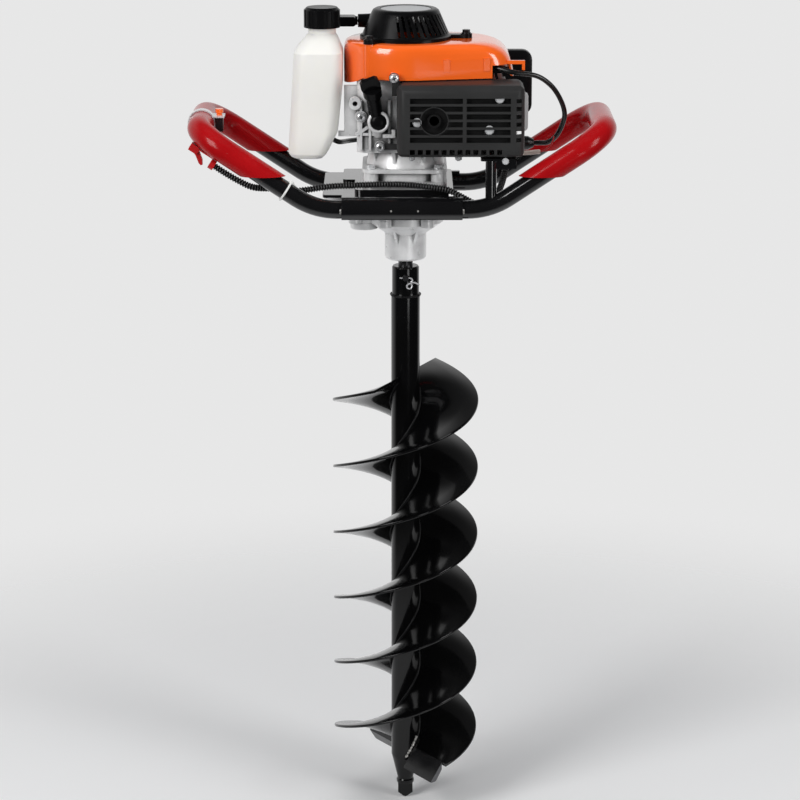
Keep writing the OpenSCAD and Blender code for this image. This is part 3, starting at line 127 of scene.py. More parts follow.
# Materials: shade is the scale and depth of cloudy colour, grain the scale and height of a fine relief,
# edge the rounding of corners, spread how far the roughness wanders, stretch the scale of the textures,
# and the painted shade in hollows its strength and how far it looks for them
CLOUD_LOW = 0.3
CLOUD_HIGH = 0.7
# Share of the colour left in the deepest hollows by the painted shade
HOLLOW_SHADE_TINT = 0.06
SCATTER = (0.006, 0.006, 0.005)
FINISHES = {
    "black_paint": dict(colour=(0.0045, 0.0045, 0.005), rough=0.15, specular=0.4, coat=0.6,
                        coat_rough=0.06, grain=(420, 0.008 * MM), shade=(7, 0.2)),
    "bit_paint": dict(colour=(0.0025, 0.0025, 0.0027), rough=0.13, specular=0.2, coat=0.3,
                      coat_rough=0.06, grain=(260, 0.012 * MM), shade=(11, 0.25), spread=0.04),
    "guard_paint": dict(colour=(0.024, 0.024, 0.024), rough=0.5, specular=0.3,
                        grain=(2600, 0.03 * MM), shade=(20, 0.08)),
    "red_grip": dict(colour=(0.37, 0.004, 0.006), rough=0.17, specular=0.22,
                     grain=(500, 0.008 * MM), shade=(14, 0.12)),
    "red_plastic": dict(colour=(0.50, 0.010, 0.012), rough=0.28, grain=(900, 0.012 * MM)),
    "orange_plastic": dict(colour=(0.96, 0.140, 0.012), rough=0.2, coat=0.9,
                           grain=(260, 0.012 * MM), shade=(6, 0.03)),
    # cast_aluminium darkens in its hollows as painted shade
    "cast_aluminium": dict(colour=(0.88, 0.88, 0.88), rough=0.34, metal=0.25, hollow_shade=(0.97, 12 * MM),
                           grain=(900, 0.04 * MM), shade=(60, 0.10), spread=0.08),
    "steel": dict(colour=(0.50, 0.51, 0.53), rough=0.32, metal=1.0, grain=(900, 0.02 * MM),
                  stretch=(1, 1, 8)),
    "clip_wire": dict(colour=(0.58, 0.58, 0.59), rough=0.25, metal=0.3, grain=(900, 0.01 * MM),
                      shade=(120, 0.1), edge=0),
    "dark_steel": dict(colour=(0.055, 0.055, 0.058), rough=0.3, metal=0.8, grain=(900, 0.02 * MM),
                       shade=(40, 0.25), stretch=(1, 1, 8)),
    "muffler_steel": dict(colour=(0.006, 0.006, 0.006), rough=0.5, specular=0.2,
                          grain=(700, 0.05 * MM), shade=(30, 0.3)),
    "zinc_steel": dict(colour=(0.76, 0.77, 0.78), rough=0.25, metal=0.7, grain=(700, 0.01 * MM),
                       shade=(120, 0.08), edge=0.3 * MM),
    "bolt_zinc": dict(colour=(0.008, 0.008, 0.009), rough=0.3, grain=(700, 0.01 * MM),
                      shade=(120, 0.08), edge=0.3 * MM),
    "switch_zinc": dict(colour=(0.010, 0.010, 0.011), rough=0.3, grain=(700, 0.01 * MM),
                        shade=(60, 0.15), edge=0.3 * MM),
    "black_plastic": dict(colour=(0.004, 0.004, 0.0044), rough=0.26, specular=0.12,
                          grain=(1800, 0.015 * MM), shade=(16, 0.15)),
    # The loom's crests are lighter and its grooves darker than its plastic: painted highlight and painted
    # shade
    "loom_plastic_painted_highlight": dict(colour=(0.055, 0.055, 0.056), rough=0.25,
                         grain=(1500, 0.01 * MM), shade=(30, 0.15), edge=0),
    "loom_groove_painted_shade": dict(colour=(0.002, 0.002, 0.002), rough=0.6, specular=0.1,
                        grain=(1500, 0.02 * MM), shade=(30, 0.2), edge=0),
    "black_rubber": dict(colour=(0.007, 0.007, 0.007), rough=0.25,
                         grain=(1500, 0.02 * MM), shade=(30, 0.2), edge=0),
    "tank_white": dict(colour=(0.87, 0.86, 0.82), rough=0.38, specular=0.4, subsurface=0.35,
                       grain=(160, 0.05 * MM), shade=(10, 0.03), edge=0.8 * MM),
    "disc_grey": dict(colour=(0.36, 0.37, 0.38), rough=0.35, coat=0.1, grain=(500, 0.01 * MM)),
    "rope_fibre": dict(colour=(0.58, 0.55, 0.47), rough=0.8, specular=0.2,
                       grain=(1500, 0.15 * MM), edge=0),
    "white_plastic": dict(colour=(0.80, 0.80, 0.78), rough=0.35, grain=(600, 0.01 * MM), edge=0.3 * MM),
    "porcelain": dict(colour=(0.78, 0.76, 0.72), rough=0.15, coat=0.5, grain=(300, 0.01 * MM)),
    "wire_sleeve": dict(colour=(0.62, 0.54, 0.48), rough=0.3, grain=(700, 0.02 * MM), edge=0),
    "red_wire": dict(colour=(0.42, 0.02, 0.02), rough=0.4, grain=(900, 0.01 * MM), edge=0),
    "weld_metal": dict(colour=(0.004, 0.004, 0.0045), rough=0.4, specular=0.2,
                       grain=(900, 0.10 * MM), shade=(80, 0.3), edge=0),
    # Pale weld: real bare metal on the blade welds, and a painted glint on the tack and spot welds
    "bare_weld_and_painted_glint": dict(colour=(0.40, 0.39, 0.37), rough=0.35, metal=0.5, grain=(700, 0.25 * MM),
                      shade=(300, 0.4), edge=0),
    "blade_paint": dict(colour=(0.005, 0.005, 0.0055), rough=0.2, specular=0.4,
                        grain=(500, 0.05 * MM), shade=(30, 0.3), spread=0.06),
}

# Places beyond which a dark node is bare metal, and the colours there
BLADE_EDGE_R = 91.9 * MM
SHIELD_Y = -58 * MM
BARE_BOLT_TOP = 1100 * MM
SWITCH_SIDE = 258.65 * MM
SWITCH_TOP = 996.1 * MM
GROUND_STEEL = (0.10, 0.10, 0.105)
SHIELD_SHEET = (0.78, 0.78, 0.78)
BOLT_ZINC = (0.76, 0.77, 0.78)
SWITCH_ZINC = (0.70, 0.71, 0.72)
BARE_METAL = 0.35

# Nodes whose looks differ from their slot's
OWN_LOOKS = {"muffler": "muffler_steel", "output_shaft": "dark_steel", "coupling_pin": "dark_steel",
             "cutter_blades": "blade_paint", "flange_bolts": "bolt_zinc", "r_clip": "clip_wire",
             "switch_plate": "switch_zinc"}


def paint_shade_in_hollows(tree, paint, colour, strength, distance):
    """Painted shade: darker colour where a surface is closed in by others."""
    hollow = add_node(tree, "ShaderNodeAmbientOcclusion", {"Distance": distance}, samples=6)
    depth = passage(tree, hollow.outputs["AO"], 0.25, 0.85, strength, 0.0)
    shade_colour = [c * HOLLOW_SHADE_TINT for c in colour] + [1]
    darken = add_node(tree, "ShaderNodeMix", {"B": shade_colour}, data_type="RGBA")
    tree.links.new(depth, darken.inputs["Factor"])
    tree.links.new(paint, darken.inputs["A"])
    return darken.outputs["Result"]


def surface_normal(tree, place, edge, grain):
    """Normal with rounded edges and a fine relief, or None where there is neither."""
    normal = None
    if edge:
        rounding = add_node(tree, "ShaderNodeBevel", {"Radius": edge}, samples=4)
        normal = rounding.outputs["Normal"]
    if grain:
        scale, height = grain
        relief = add_node(tree, "ShaderNodeTexNoise", {"Scale": scale, "Detail": 3})
        tree.links.new(place, relief.inputs["Vector"])
        bump = add_node(tree, "ShaderNodeBump", {"Strength": 1.0, "Distance": height})
        tree.links.new(relief.outputs["Fac"], bump.inputs["Height"])
        if normal:
            tree.links.new(normal, bump.inputs["Normal"])
        normal = bump.outputs["Normal"]
    return normal


def surface(name, colour, rough, metal=0.0, specular=0.5, coat=0.0, coat_rough=0.08, shade=(9, 0.05),
            grain=None, spread=0.05, edge=0.7 * MM, stretch=(1, 1, 1), subsurface=0.0, hollow_shade=None):
    """A procedural material."""
    material = bpy.data.materials.new(name)
    material.use_nodes = True
    tree = material.node_tree
    shader = tree.nodes["Principled BSDF"]
    shader.inputs["Metallic"].default_value = metal
    shader.inputs["Specular IOR Level"].default_value = specular
    shader.inputs["Coat Weight"].default_value = coat
    shader.inputs["Coat Roughness"].default_value = coat_rough
    if subsurface:
        shader.inputs["Subsurface Weight"].default_value = subsurface
        shader.inputs["Subsurface Radius"].default_value = SCATTER
    origin = add_node(tree, "ShaderNodeTexCoord")
    mapping = add_node(tree, "ShaderNodeMapping", {"Scale": stretch})
    tree.links.new(origin.outputs["Object"], mapping.inputs["Vector"])
    place = mapping.outputs["Vector"]

    cloud_scale, cloud_depth = shade
    clouds = add_node(tree, "ShaderNodeTexNoise", {"Scale": cloud_scale, "Detail": 4})
    tree.links.new(place, clouds.inputs["Vector"])
    ramp = add_node(tree, "ShaderNodeValToRGB")
    dark, light = ramp.color_ramp.elements
    dark.position = CLOUD_LOW
    light.position = CLOUD_HIGH
    dark.color = [c * (1 - cloud_depth) for c in colour] + [1]
    light.color = [min(1, c * (1 + cloud_depth)) for c in colour] + [1]
    tree.links.new(clouds.outputs["Fac"], ramp.inputs["Fac"])
    paint = ramp.outputs["Color"]
    # Painted shade: the colour darkens where ambient occlusion finds hollows
    if hollow_shade:
        paint = paint_shade_in_hollows(tree, paint, colour, *hollow_shade)
    tree.links.new(paint, shader.inputs["Base Color"])

    smoothest = max(0.02, rough - spread)
    roughest = min(1, rough + spread)
    gloss = passage(tree, clouds.outputs["Fac"], CLOUD_LOW, CLOUD_HIGH, smoothest, roughest)
    tree.links.new(gloss, shader.inputs["Roughness"])
    normal = surface_normal(tree, place, edge, grain)
    if normal:
        tree.links.new(normal, shader.inputs["Normal"])
    return material


def bare_beyond(material, measure, limit, colour, rough):
    """Bare metal where a place passes a limit along a direction, or by its distance from the drill axis."""
    tree = material.node_tree
    shader = tree.nodes["Principled BSDF"]
    place = add_node(tree, "ShaderNodeTexCoord")
    if measure == "radius":
        flat = add_node(tree, "ShaderNodeVectorMath", {1: (1, 1, 0)}, operation="MULTIPLY")
        reach = add_node(tree, "ShaderNodeVectorMath", operation="LENGTH")
        tree.links.new(place.outputs["Object"], flat.inputs[0])
        tree.links.new(flat.outputs["Vector"], reach.inputs[0])
    else:
        reach = add_node(tree, "ShaderNodeVectorMath", {1: measure}, operation="DOT_PRODUCT")
        tree.links.new(place.outputs["Object"], reach.inputs[0])
    past = add_node(tree, "ShaderNodeMath", {1: limit}, operation="GREATER_THAN")
    tree.links.new(reach.outputs["Value"], past.inputs[0])
    paint = shader.inputs["Base Color"].links[0].from_socket
    tint = add_node(tree, "ShaderNodeMix", {"B": colour + (1,)}, data_type="RGBA")
    tree.links.new(past.outputs[0], tint.inputs["Factor"])
    tree.links.new(paint, tint.inputs["A"])
    tree.links.new(tint.outputs["Result"], shader.inputs["Base Color"])
    gloss = shader.inputs["Roughness"].links[0].from_socket
    sheen = add_node(tree, "ShaderNodeMix", {"B": rough})
    tree.links.new(past.outputs[0], sheen.inputs["Factor"])
    tree.links.new(gloss, sheen.inputs["A"])
    tree.links.new(sheen.outputs["Result"], shader.inputs["Roughness"])
    shine = add_node(tree, "ShaderNodeMath", {1: BARE_METAL}, operation="MULTIPLY")
    tree.links.new(past.outputs[0], shine.inputs[0])
    tree.links.new(shine.outputs[0], shader.inputs["Metallic"])


def make_looks():
    made = {name: surface(name, **finish) for name, finish in FINISHES.items()}
    bare_beyond(made["blade_paint"], "radius", BLADE_EDGE_R, GROUND_STEEL, 0.3)
    bare_beyond(made["muffler_steel"], (0, 1, 0), SHIELD_Y, SHIELD_SHEET, 0.25)
    bare_beyond(made["bolt_zinc"], (0, 0, -1), -BARE_BOLT_TOP, BOLT_ZINC, 0.25)
    bare_beyond(made["switch_zinc"], (-1, 0, 0), SWITCH_SIDE, SWITCH_ZINC, 0.25)
    bare_beyond(made["switch_zinc"], (0, 0, 1), SWITCH_TOP, SWITCH_ZINC, 0.25)
    return made


# Studio
BACKDROP = 0.80
SOFT_TINT = (0.94, 0.96, 1.0)
SOFT_STRENGTH = 0.20
WALL_HEADING = (-0.25, 0.97, 0)
ROOF_SHARE = 0.12
TENT_GAIN = 0.95
TENT_LEAST = 0.05
FLOOR_PALE = 0.94
FLOOR_REACH = 1.6
FLOOR_FADE = (0.5, 1.5)
FLOOR_Z = -0.6 * MM


def add_world():
    """Soft light all round, a pale backdrop, and for gloss a tent with a bright wall behind."""
    world = bpy.data.worlds.new("studio")
    bpy.context.scene.world = world
    world.use_nodes = True
    tree = world.node_tree
    soft = tree.nodes["Background"]
    soft.inputs["Color"].default_value = SOFT_TINT + (1,)
    soft.inputs["Strength"].default_value = SOFT_STRENGTH

    heading = add_node(tree, "ShaderNodeTexCoord")
    behind = add_node(tree, "ShaderNodeVectorMath", {1: WALL_HEADING}, operation="DOT_PRODUCT")
    parts = add_node(tree, "ShaderNodeSeparateXYZ")
    tree.links.new(heading.outputs["Generated"], behind.inputs[0])
    tree.links.new(heading.outputs["Generated"], parts.inputs[0])
    wall = passage(tree, behind.outputs["Value"], 0.0, 0.6, 0, 1, "SMOOTHSTEP")
    roof = passage(tree, parts.outputs["Z"], 0.55, 0.85, 1, ROOF_SHARE, "SMOOTHSTEP")
    both = add_node(tree, "ShaderNodeMath", operation="MULTIPLY")
    glow = add_node(tree, "ShaderNodeMath", {1: TENT_GAIN, 2: TENT_LEAST}, operation="MULTIPLY_ADD")
    tent = add_node(tree, "ShaderNodeBackground")
    tree.links.new(wall, both.inputs[0])
    tree.links.new(roof, both.inputs[1])
    tree.links.new(both.outputs[0], glow.inputs[0])
    tree.links.new(glow.outputs[0], tent.inputs["Strength"])

    backdrop = add_node(tree, "ShaderNodeBackground", {"Color": (BACKDROP, BACKDROP, BACKDROP, 1)})
    rays = add_node(tree, "ShaderNodeLightPath")
    seen = add_node(tree, "ShaderNodeMath", operation="MAXIMUM")
    tree.links.new(rays.outputs["Is Camera Ray"], seen.inputs[0])
    tree.links.new(rays.outputs["Is Transmission Ray"], seen.inputs[1])
    glossy = add_node(tree, "ShaderNodeMixShader")
    direct = add_node(tree, "ShaderNodeMixShader")
    tree.links.new(rays.outputs["Is Glossy Ray"], glossy.inputs[0])
    tree.links.new(soft.outputs[0], glossy.inputs[1])
    tree.links.new(tent.outputs[0], glossy.inputs[2])
    tree.links.new(seen.outputs[0], direct.inputs[0])
    tree.links.new(glossy.outputs[0], direct.inputs[1])
    tree.links.new(backdrop.outputs[0], direct.inputs[2])
    tree.links.new(direct.outputs[0], tree.nodes["World Output"].inputs["Surface"])


def add_softbox(name, place, aim, width, height, watts, mirrored=True):
    data = bpy.data.lights.new(name, "AREA")
    data.shape = "RECTANGLE"
    data.size = width
    data.size_y = height
    data.energy = watts
    lamp = bpy.data.objects.new(name, data)
    lamp.visible_glossy = mirrored
    bpy.context.scene.collection.objects.link(lamp)
    lamp.location = place
    lamp.rotation_euler = (Vector(aim) - Vector(place)).to_track_quat("-Z", "Y").to_euler()


def floor_look():
    """Pale matt floor round the object, which fades into the backdrop."""
    pale = (FLOOR_PALE, FLOOR_PALE, FLOOR_PALE)
    material = surface("floor_pale", pale, 0.9, specular=0.0, shade=(9, 0.0), edge=0)
    tree = material.node_tree
    place = add_node(tree, "ShaderNodeTexCoord")
    reach = add_node(tree, "ShaderNodeVectorMath", operation="LENGTH")
    clear = add_node(tree, "ShaderNodeBsdfTransparent")
    blend = add_node(tree, "ShaderNodeMixShader")
    tree.links.new(place.outputs["Object"], reach.inputs[0])
    fade = passage(tree, reach.outputs["Value"], *FLOOR_FADE, 0, 1, "SMOOTHSTEP")
    tree.links.new(fade, blend.inputs[0])
    tree.links.new(tree.nodes["Principled BSDF"].outputs[0], blend.inputs[1])
    tree.links.new(clear.outputs[0], blend.inputs[2])
    tree.links.new(blend.outputs[0], tree.nodes["Material Output"].inputs["Surface"])
    return material


def add_studio():
    add_world()
    add_softbox("key_left", (-2.4, -2.6, 2.4), aim=(0, 0, 0.8), width=1.6, height=2.2, watts=90)
    add_softbox("fill_right", (2.7, -2.0, 1.9), aim=(0, 0, 0.7), width=1.1, height=2.0, watts=47)
    add_softbox("overhead", (0, -0.2, 3.3), aim=(0, 0, 0.9), width=2.6, height=2.6, watts=30,
                mirrored=False)
    add_softbox("card_right", (1.24, -2.83, 0.27), aim=(0.07, -0.07, 1.07), width=0.8, height=0.5, watts=5)
    corners = [(-1, -1), (1, -1), (1, 1), (-1, 1)]
    places = [(x * FLOOR_REACH, y * FLOOR_REACH, FLOOR_Z) for x, y in corners]
    floor_mesh = bpy.data.meshes.new("floor")
    floor_mesh.from_pydata(places, [], [(0, 1, 2, 3)])
    floor = bpy.data.objects.new("floor", floor_mesh)
    bpy.context.scene.collection.objects.link(floor)
    floor.data.materials.append(floor_look())


# Mesh tools
def smooth_group(limit_deg):
    """Node group that joins split corners and shades faces smoothly up to an edge angle."""
    group = bpy.data.node_groups.new("soft_shading", "GeometryNodeTree")
    group.interface.new_socket("Geometry", in_out="INPUT", socket_type="NodeSocketGeometry")
    group.interface.new_socket("Geometry", in_out="OUTPUT", socket_type="NodeSocketGeometry")
    source = add_node(group, "NodeGroupInput")
    result = add_node(group, "NodeGroupOutput")
    plain = add_node(group, "GeometryNodeRemoveAttribute", {"Name": "custom_normal"})
    merge = add_node(group, "GeometryNodeMergeByDistance", {"Distance": 0.004 * MM})
    faces = add_node(group, "GeometryNodeSetShadeSmooth", domain="FACE")
    edges = add_node(group, "GeometryNodeSetShadeSmooth", domain="EDGE")
    angle = add_node(group, "GeometryNodeInputMeshEdgeAngle")
    below = add_node(group, "FunctionNodeCompare", {1: math.radians(limit_deg)}, data_type="FLOAT",
                     operation="LESS_THAN")
    group.links.new(source.outputs[0], plain.inputs["Geometry"])
    group.links.new(plain.outputs["Geometry"], merge.inputs["Geometry"])
    group.links.new(merge.outputs["Geometry"], faces.inputs["Geometry"])
    group.links.new(faces.outputs["Geometry"], edges.inputs["Geometry"])
    group.links.new(angle.outputs["Unsigned Angle"], below.inputs[0])
    group.links.new(below.outputs["Result"], edges.inputs["Shade Smooth"])
    group.links.new(edges.outputs["Geometry"], result.inputs[0])
    return group


def add_piece(name, points, faces, material, body, sharp_deg):
    """A mesh piece with edges sharp beyond an angle; body is None for a piece that rides on no body."""
    mesh = bpy.data.meshes.new(name)
    mesh.from_pydata([tuple(p) for p in points], [], faces)
    mesh.validate()
    mesh.update()
    mesh.materials.append(looks[material])
    mesh.shade_smooth()
    mesh.set_sharp_from_angle(angle=math.radians(sharp_deg))
    piece = bpy.data.objects.new(name, mesh)
    bpy.context.scene.collection.objects.link(piece)
    if body:
        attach(piece, body)
    return piece


def curve_point(a, b, c, d, t):
    """A place on the smooth curve from b to c, with a before and d after them."""
    bend = 2 * a - 5 * b + 4 * c - d
    twist = 3 * b - a - 3 * c + d
    return 0.5 * (2 * b + (c - a) * t + bend * t * t + twist * t ** 3)


def smooth_path(points, step):
    """Smooth path through points, with about one step of length between its places."""
    points = [Vector(p) for p in points]
    last = len(points) - 1
    path = []
    for i in range(last):
        a, b, c, d = (points[min(max(k, 0), last)] for k in (i - 1, i, i + 1, i + 2))
        count = max(1, round((c - b).length / step))
        path += [curve_point(a, b, c, d, k / count) for k in range(count)]
    return path + [points[last]]


def even_path(path, step):
    """The same path with places at even distances."""
    lengths = [0.0]
    for a, b in zip(path, path[1:]):
        lengths.append(lengths[-1] + (b - a).length)
    count = max(2, round(lengths[-1] / step))
    places, k = [], 0
    for i in range(count + 1):
        at = lengths[-1] * i / count
        while k < len(path) - 2 and lengths[k + 1] < at:
            k += 1
        span = lengths[k + 1] - lengths[k]
        places.append(path[k].lerp(path[k + 1], (at - lengths[k]) / span if span else 0))
    return places


def ring(centre, radius, side, other, sides):
    """Points of a circle about a centre, in the plane of two directions."""
    turns = [2 * math.pi * k / sides for k in range(sides)]
    return [centre + radius * (math.cos(turn) * side + math.sin(turn) * other) for turn in turns]


def skin_faces(rings, sides):
    """Faces that join a row of rings, with both ends closed."""
    faces = []
    last = rings - 1
    for i in range(last):
        for k in range(sides):
            a, b = i * sides + k, i * sides + (k + 1) % sides
            faces.append((a, b, b + sides, a + sides))
    faces.append(tuple(range(sides - 1, -1, -1)))
    faces.append(tuple(last * sides + k for k in range(sides)))
    return faces


def tube_mesh(path, radii, sides):
    """Points and faces of a closed tube along a path, with a radius at each place."""
    points = []
    side = Vector((0, 0, 1))
    last = len(path) - 1
    for i, place in enumerate(path):
        ahead = (path[min(i + 1, last)] - path[max(i - 1, 0)]).normalized()
        side = (side - ahead * side.dot(ahead)).normalized()
        points += ring(place, radii[i], side, ahead.cross(side), sides)
    return points, skin_faces(len(path), sides)


def add_tube(name, path, radius, material, body, sides):
    """A tube along a path; radius is one value, or a list with one for each place."""
    radii = radius if isinstance(radius, list) else [radius] * len(path)
    points, faces = tube_mesh(path, radii, sides)
    return add_piece(name, points, faces, material, body, 50)


def loop_mesh(path, radii, axis, sides):
    """Points and faces of a tube along a closed flat path; axis is square to its plane."""
    points, faces = [], []
    count = len(path)
    axis = Vector(axis).normalized()
    for i, place in enumerate(path):
        ahead = (path[(i + 1) % count] - path[i - 1]).normalized()
        points += ring(place, radii[i], axis.cross(ahead), axis, sides)
    for i in range(count):
        here, beyond = i * sides, (i + 1) % count * sides
        for k in range(sides):
            after = (k + 1) % sides
            faces.append((here + k, here + after, beyond + after, beyond + k))
    return points, faces


def add_turned(name, profile, seat, axis, sides, material, sharp_deg):
    """A closed solid on the machine, from rings of radius and height in millimetres along an axis."""
    axis = Vector(axis).normalized()
    side = axis.orthogonal().normalized()
    other = axis.cross(side)
    points = []
    for radius, height in profile:
        points += ring(Vector(seat) + axis * (height * MM), radius * MM, side, other, sides)
    faces = skin_faces(len(profile), sides)
    add_piece(name, points, faces, material, "machine", sharp_deg)


def ripple(mean, at, *waves):
    """A mean value with waves on it, each given by its height and rate."""
    value = mean
    for height, rate in waves:
        value += height * math.sin(rate * at)
    return value


# Routes of loom, leads and hose, as in the model
def arm_point(along, across, above):
    """A place given along, across and above the front left arm, in millimetres."""
    x = ARM_FOOT_X + MM * (above * math.sin(ARM) - along * math.cos(ARM))
    return (x, -BAR_Y - MM * across, BAR_Z + MM * (along * math.sin(ARM) + above * math.cos(ARM)))


LOOM_ON_ARM = [(143.8, -3, -24.8), (128, -2, -24.8), (108, 0, -23.5), (86, -4, -21), (66, -16, -12.5),
               (54, -19.8, -5), (42, -20.6, -3)]
LOOM_ON_BAR = [(-134, 20, 23), (-105, 16.5, 28), (-75, 15, 30), (-8, 14.5, 31.5), (46, 14.5, 26),
               (60, 14.8, 22.5), (74, 15.5, 15), (93, 19, 4), (107, 24, -4), (117, 38, -7), (121, 70, -7),
               (127, 110, 0), (137, 148, 20), (144, 167, 60), (146, 171.3, 97), (146, 171.5, 104.4)]
LOOM_ROUTE = [arm_point(*p) for p in LOOM_ON_ARM] + [
    (MM * x, MM * y - BAR_Y, BAR_Z + MM * z) for x, y, z in LOOM_ON_BAR]
LEAD_FROM_SHROUD = [(112.6, -47, 14), (117, -47.3, 13.8), (129, -54, 11), (147, -58, 7), (176, -51, 1.5),
                    (196, -43, -13), (209, -35, -33), (215, -28, -52), (213, -21, -68), (205, -14, -86)]
LEAD_TO_PLUG = [(194, -6, 2), (186, -1.2, 0.4), (180, 0, 0), (175.4, 0, 0)]
LEAD_ROUTE = [(MM * x, MM * y, Z_SHROUD + MM * z) for x, y, z in LEAD_FROM_SHROUD] + [
    (MM * x, MM * y, PLUG_Z + MM * z) for x, y, z in LEAD_TO_PLUG]
WIRE_PLACES = [(148.3, -49, 1.5), (152, -49, 1.5), (153, -49, 1.5), (166, -48, 2), (182, -45.5, 3),
               (183, -45.2, 3.1), (190, -41, 5.5), (198, -31, 11.5), (201.6, -20, 19)]
WIRE_ROUTE = [(MM * x, MM * y, Z_BRACKET + MM * z) for x, y, z in WIRE_PLACES]
HOSE_PLACES = [(-99.8, -2, 29.7), (-91.5, -1, 25.6), (-78, 34, 21), (-50, 68, 20), (0, 74, 34),
               (60, 74, 54), (92, 71.4, 61.5), (103.4, 71, 62)]
HOSE_ROUTE = [(MM * x, MM * y, Z_CRANK + MM * z) for x, y, z in HOSE_PLACES]


def add_loom():
    """Ribbed sleeve: round ribs with painted highlight on their crests and painted shade in the grooves
    between them.
    """
    pitch = 3.7 * MM
    groove = 1.6 * MM
    wave = [0, 0.3, 0.85, 1, 0.85, 0.3]
    crest = (2, 3)
    per_rib = len(wave)
    sides = 18
    path = even_path(smooth_path(LOOM_ROUTE, 1.2 * MM), pitch / per_rib)
    radii = [LOOM_R - groove * (1 - wave[i % per_rib]) for i in range(len(path))]
    points, faces = tube_mesh(path, radii, sides)
    loom = add_piece("ribbed_loom", points, faces, "loom_plastic_painted_highlight", "machine", 75)
    loom.data.materials.append(looks["loom_groove_painted_shade"])
    # Crest faces take the lighter look as painted highlight, the others the darker look as painted shade
    for face in loom.data.polygons:
        face.material_index = int(face.index // sides % per_rib not in crest)
    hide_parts("cable_loom")


def add_lead():
    path = even_path(smooth_path(LEAD_ROUTE, 2 * MM), 3 * MM)
    lead = add_tube("ignition_lead", path, LEAD_R, "black_rubber", "machine", 20)
    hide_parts("ht_lead")


def add_stop_wire():
    """Thin red wire with a pale sleeve over its first stretch."""
    path = even_path(smooth_path(WIRE_ROUTE, 1 * MM), 1 * MM)
    wire = add_tube("red_wire", path, WIRE_R, "red_wire", "machine", 12)
    start, end = 152.4 * MM, 182.6 * MM
    end_step = 0.5 * MM
    covered = [p for p in path if start < p.x < end]
    last = len(covered) - 1
    radii = [SLEEVE_R - end_step * (i in (0, last)) for i in range(len(covered))]
    sleeve = add_tube("wire_sleeve", covered, radii, "wire_sleeve", "machine", 16)
    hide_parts("stop_wire")


def add_fuel_hose():
    path = even_path(smooth_path(HOSE_ROUTE, 3 * MM), 4 * MM)
    hose = add_tube("fuel_line", path, HOSE_R, "black_rubber", "machine", 16)
    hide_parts("fuel_hose")


def add_starter_rope():
    """Three twisted strands between reel and handle."""
    low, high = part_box("starter_rope")
    axis_y = (low.y + high.y) / 2
    axis_z = (low.z + high.z) / 2
    strands = 3
    strand_r = 0.95 * MM
    lay_r = ROPE_R - strand_r
    turns = 9
    steps = 140
    points, faces = [], []
    for strand in range(strands):
        path = []
        for i in range(steps + 1):
            turn = 2 * math.pi * (turns * i / steps + strand / strands)
            x = low.x + (high.x - low.x) * i / steps
            path.append(Vector((x, axis_y + lay_r * math.cos(turn), axis_z + lay_r * math.sin(turn))))
        more_points, more_faces = tube_mesh(path, [strand_r] * len(path), 8)
        base = len(points)
        points += more_points
        faces += [tuple(base + k for k in face) for face in more_faces]
    rope = add_piece("twisted_rope", points, faces, "rope_fibre", None, 80)
    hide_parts("starter_rope")
    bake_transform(rope)


def add_tie():
    """Round band about the left arm and the loom, with its lock and cut tail."""
    along = 46.5
    band_r = 1.5
    arm_skin, loom_skin = 12.6, 4.8
    loom_at = (-20.4, -3.4)
    circles = [(Vector((0, 0)), arm_skin + band_r), (Vector(loom_at), loom_skin + band_r)]
    steps = 60
    places = []
    for step in range(steps):
        turn = 2 * math.pi * step / steps
        out = Vector((math.cos(turn), math.sin(turn)))
        across, above = max((c + r * out for c, r in circles), key=out.dot)
        places.append(Vector(arm_point(along, across, above)))
    path = even_path(places + places[:1], 1.2 * MM)[:-1]
    middle = Vector(arm_point(along, 0, 0))
    axis = Vector(arm_point(along + 1, 0, 0)) - middle
    points, faces = loop_mesh(path, [band_r * MM] * len(path), axis, 10)
    band = add_piece("tie_band", points, faces, "white_plastic", "machine", 60)

    foot = Vector(arm_point(along, 4, arm_skin))
    up = (foot - middle).normalized()
    lock = [(2.0, 0), (3.0, 0.6), (3.2, 2.2), (2.8, 3.8), (1.6, 4.4)]
    add_turned("tie_lock", lock, foot, up, 20, "white_plastic", 50)
    tail_rise = 2.4
    tail = [foot + up * tail_rise * MM - axis.normalized() * step * MM for step in (0, 2, 4, 6, 7)]
    add_tube("tie_tail", tail, 1.1 * MM, "white_plastic", "machine", 10)
    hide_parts("cable_tie")


# Frame and engine details
def add_tack_welds():
    """Short beads at the ends of the channels on the bars, pale grey as a painted glint."""
    bead_at = 14.2 * MM
    ends = {"left": -86.8 * MM, "right": 76.8 * MM}
    for side, facing in (("front", -1), ("rear", 1)):
        for end, x in ends.items():
            path, radii = [], []
            for i in range(6):
                lean = math.radians(-12 + 5 * i)
                y = facing * (BAR_Y + bead_at * math.cos(lean))
                path.append(Vector((x, y, BAR_Z + bead_at * math.sin(lean))))
                radii.append(MM * ripple(1.7, i, (0.35, 2.2)))
            # The pale weld colour here is a painted glint
            add_tube(f"tack_{side}_{end}", path, radii, "bare_weld_and_painted_glint", "machine", 8)


def add_spot_welds():
    """Flat domes in the front channel, pale grey as a painted glint."""
    dome = [(1.4, -0.4), (1.3, 0.1), (0.9, 0.2), (0.4, 0.26)]
    channel_y = -116.7 * MM
    for label, x in (("left", -19.7 * MM), ("right", 16.3 * MM)):
        seat = (x, channel_y, BAR_Z + 1 * MM)
        add_turned(f"spot_{label}", dome, seat, (0, -1, 0), 16, "bare_weld_and_painted_glint", 60)


def add_guard_nuts():
    """Flanged nuts under the guard's floor."""
    nut = [(6.2, 0), (6.2, 0.9), (4.7, 1.3), (4.7, 4.4), (4.0, 5.0), (2.6, 5.0), (2.6, 6.2)]
    for label, x in (("left", 7.6 * MM), ("right", 70.4 * MM)):
        seat = (x, -98 * MM, 957 * MM)
        add_turned(f"guard_nut_{label}", nut, seat, (0, 0, -1), 6, "zinc_steel", 25)


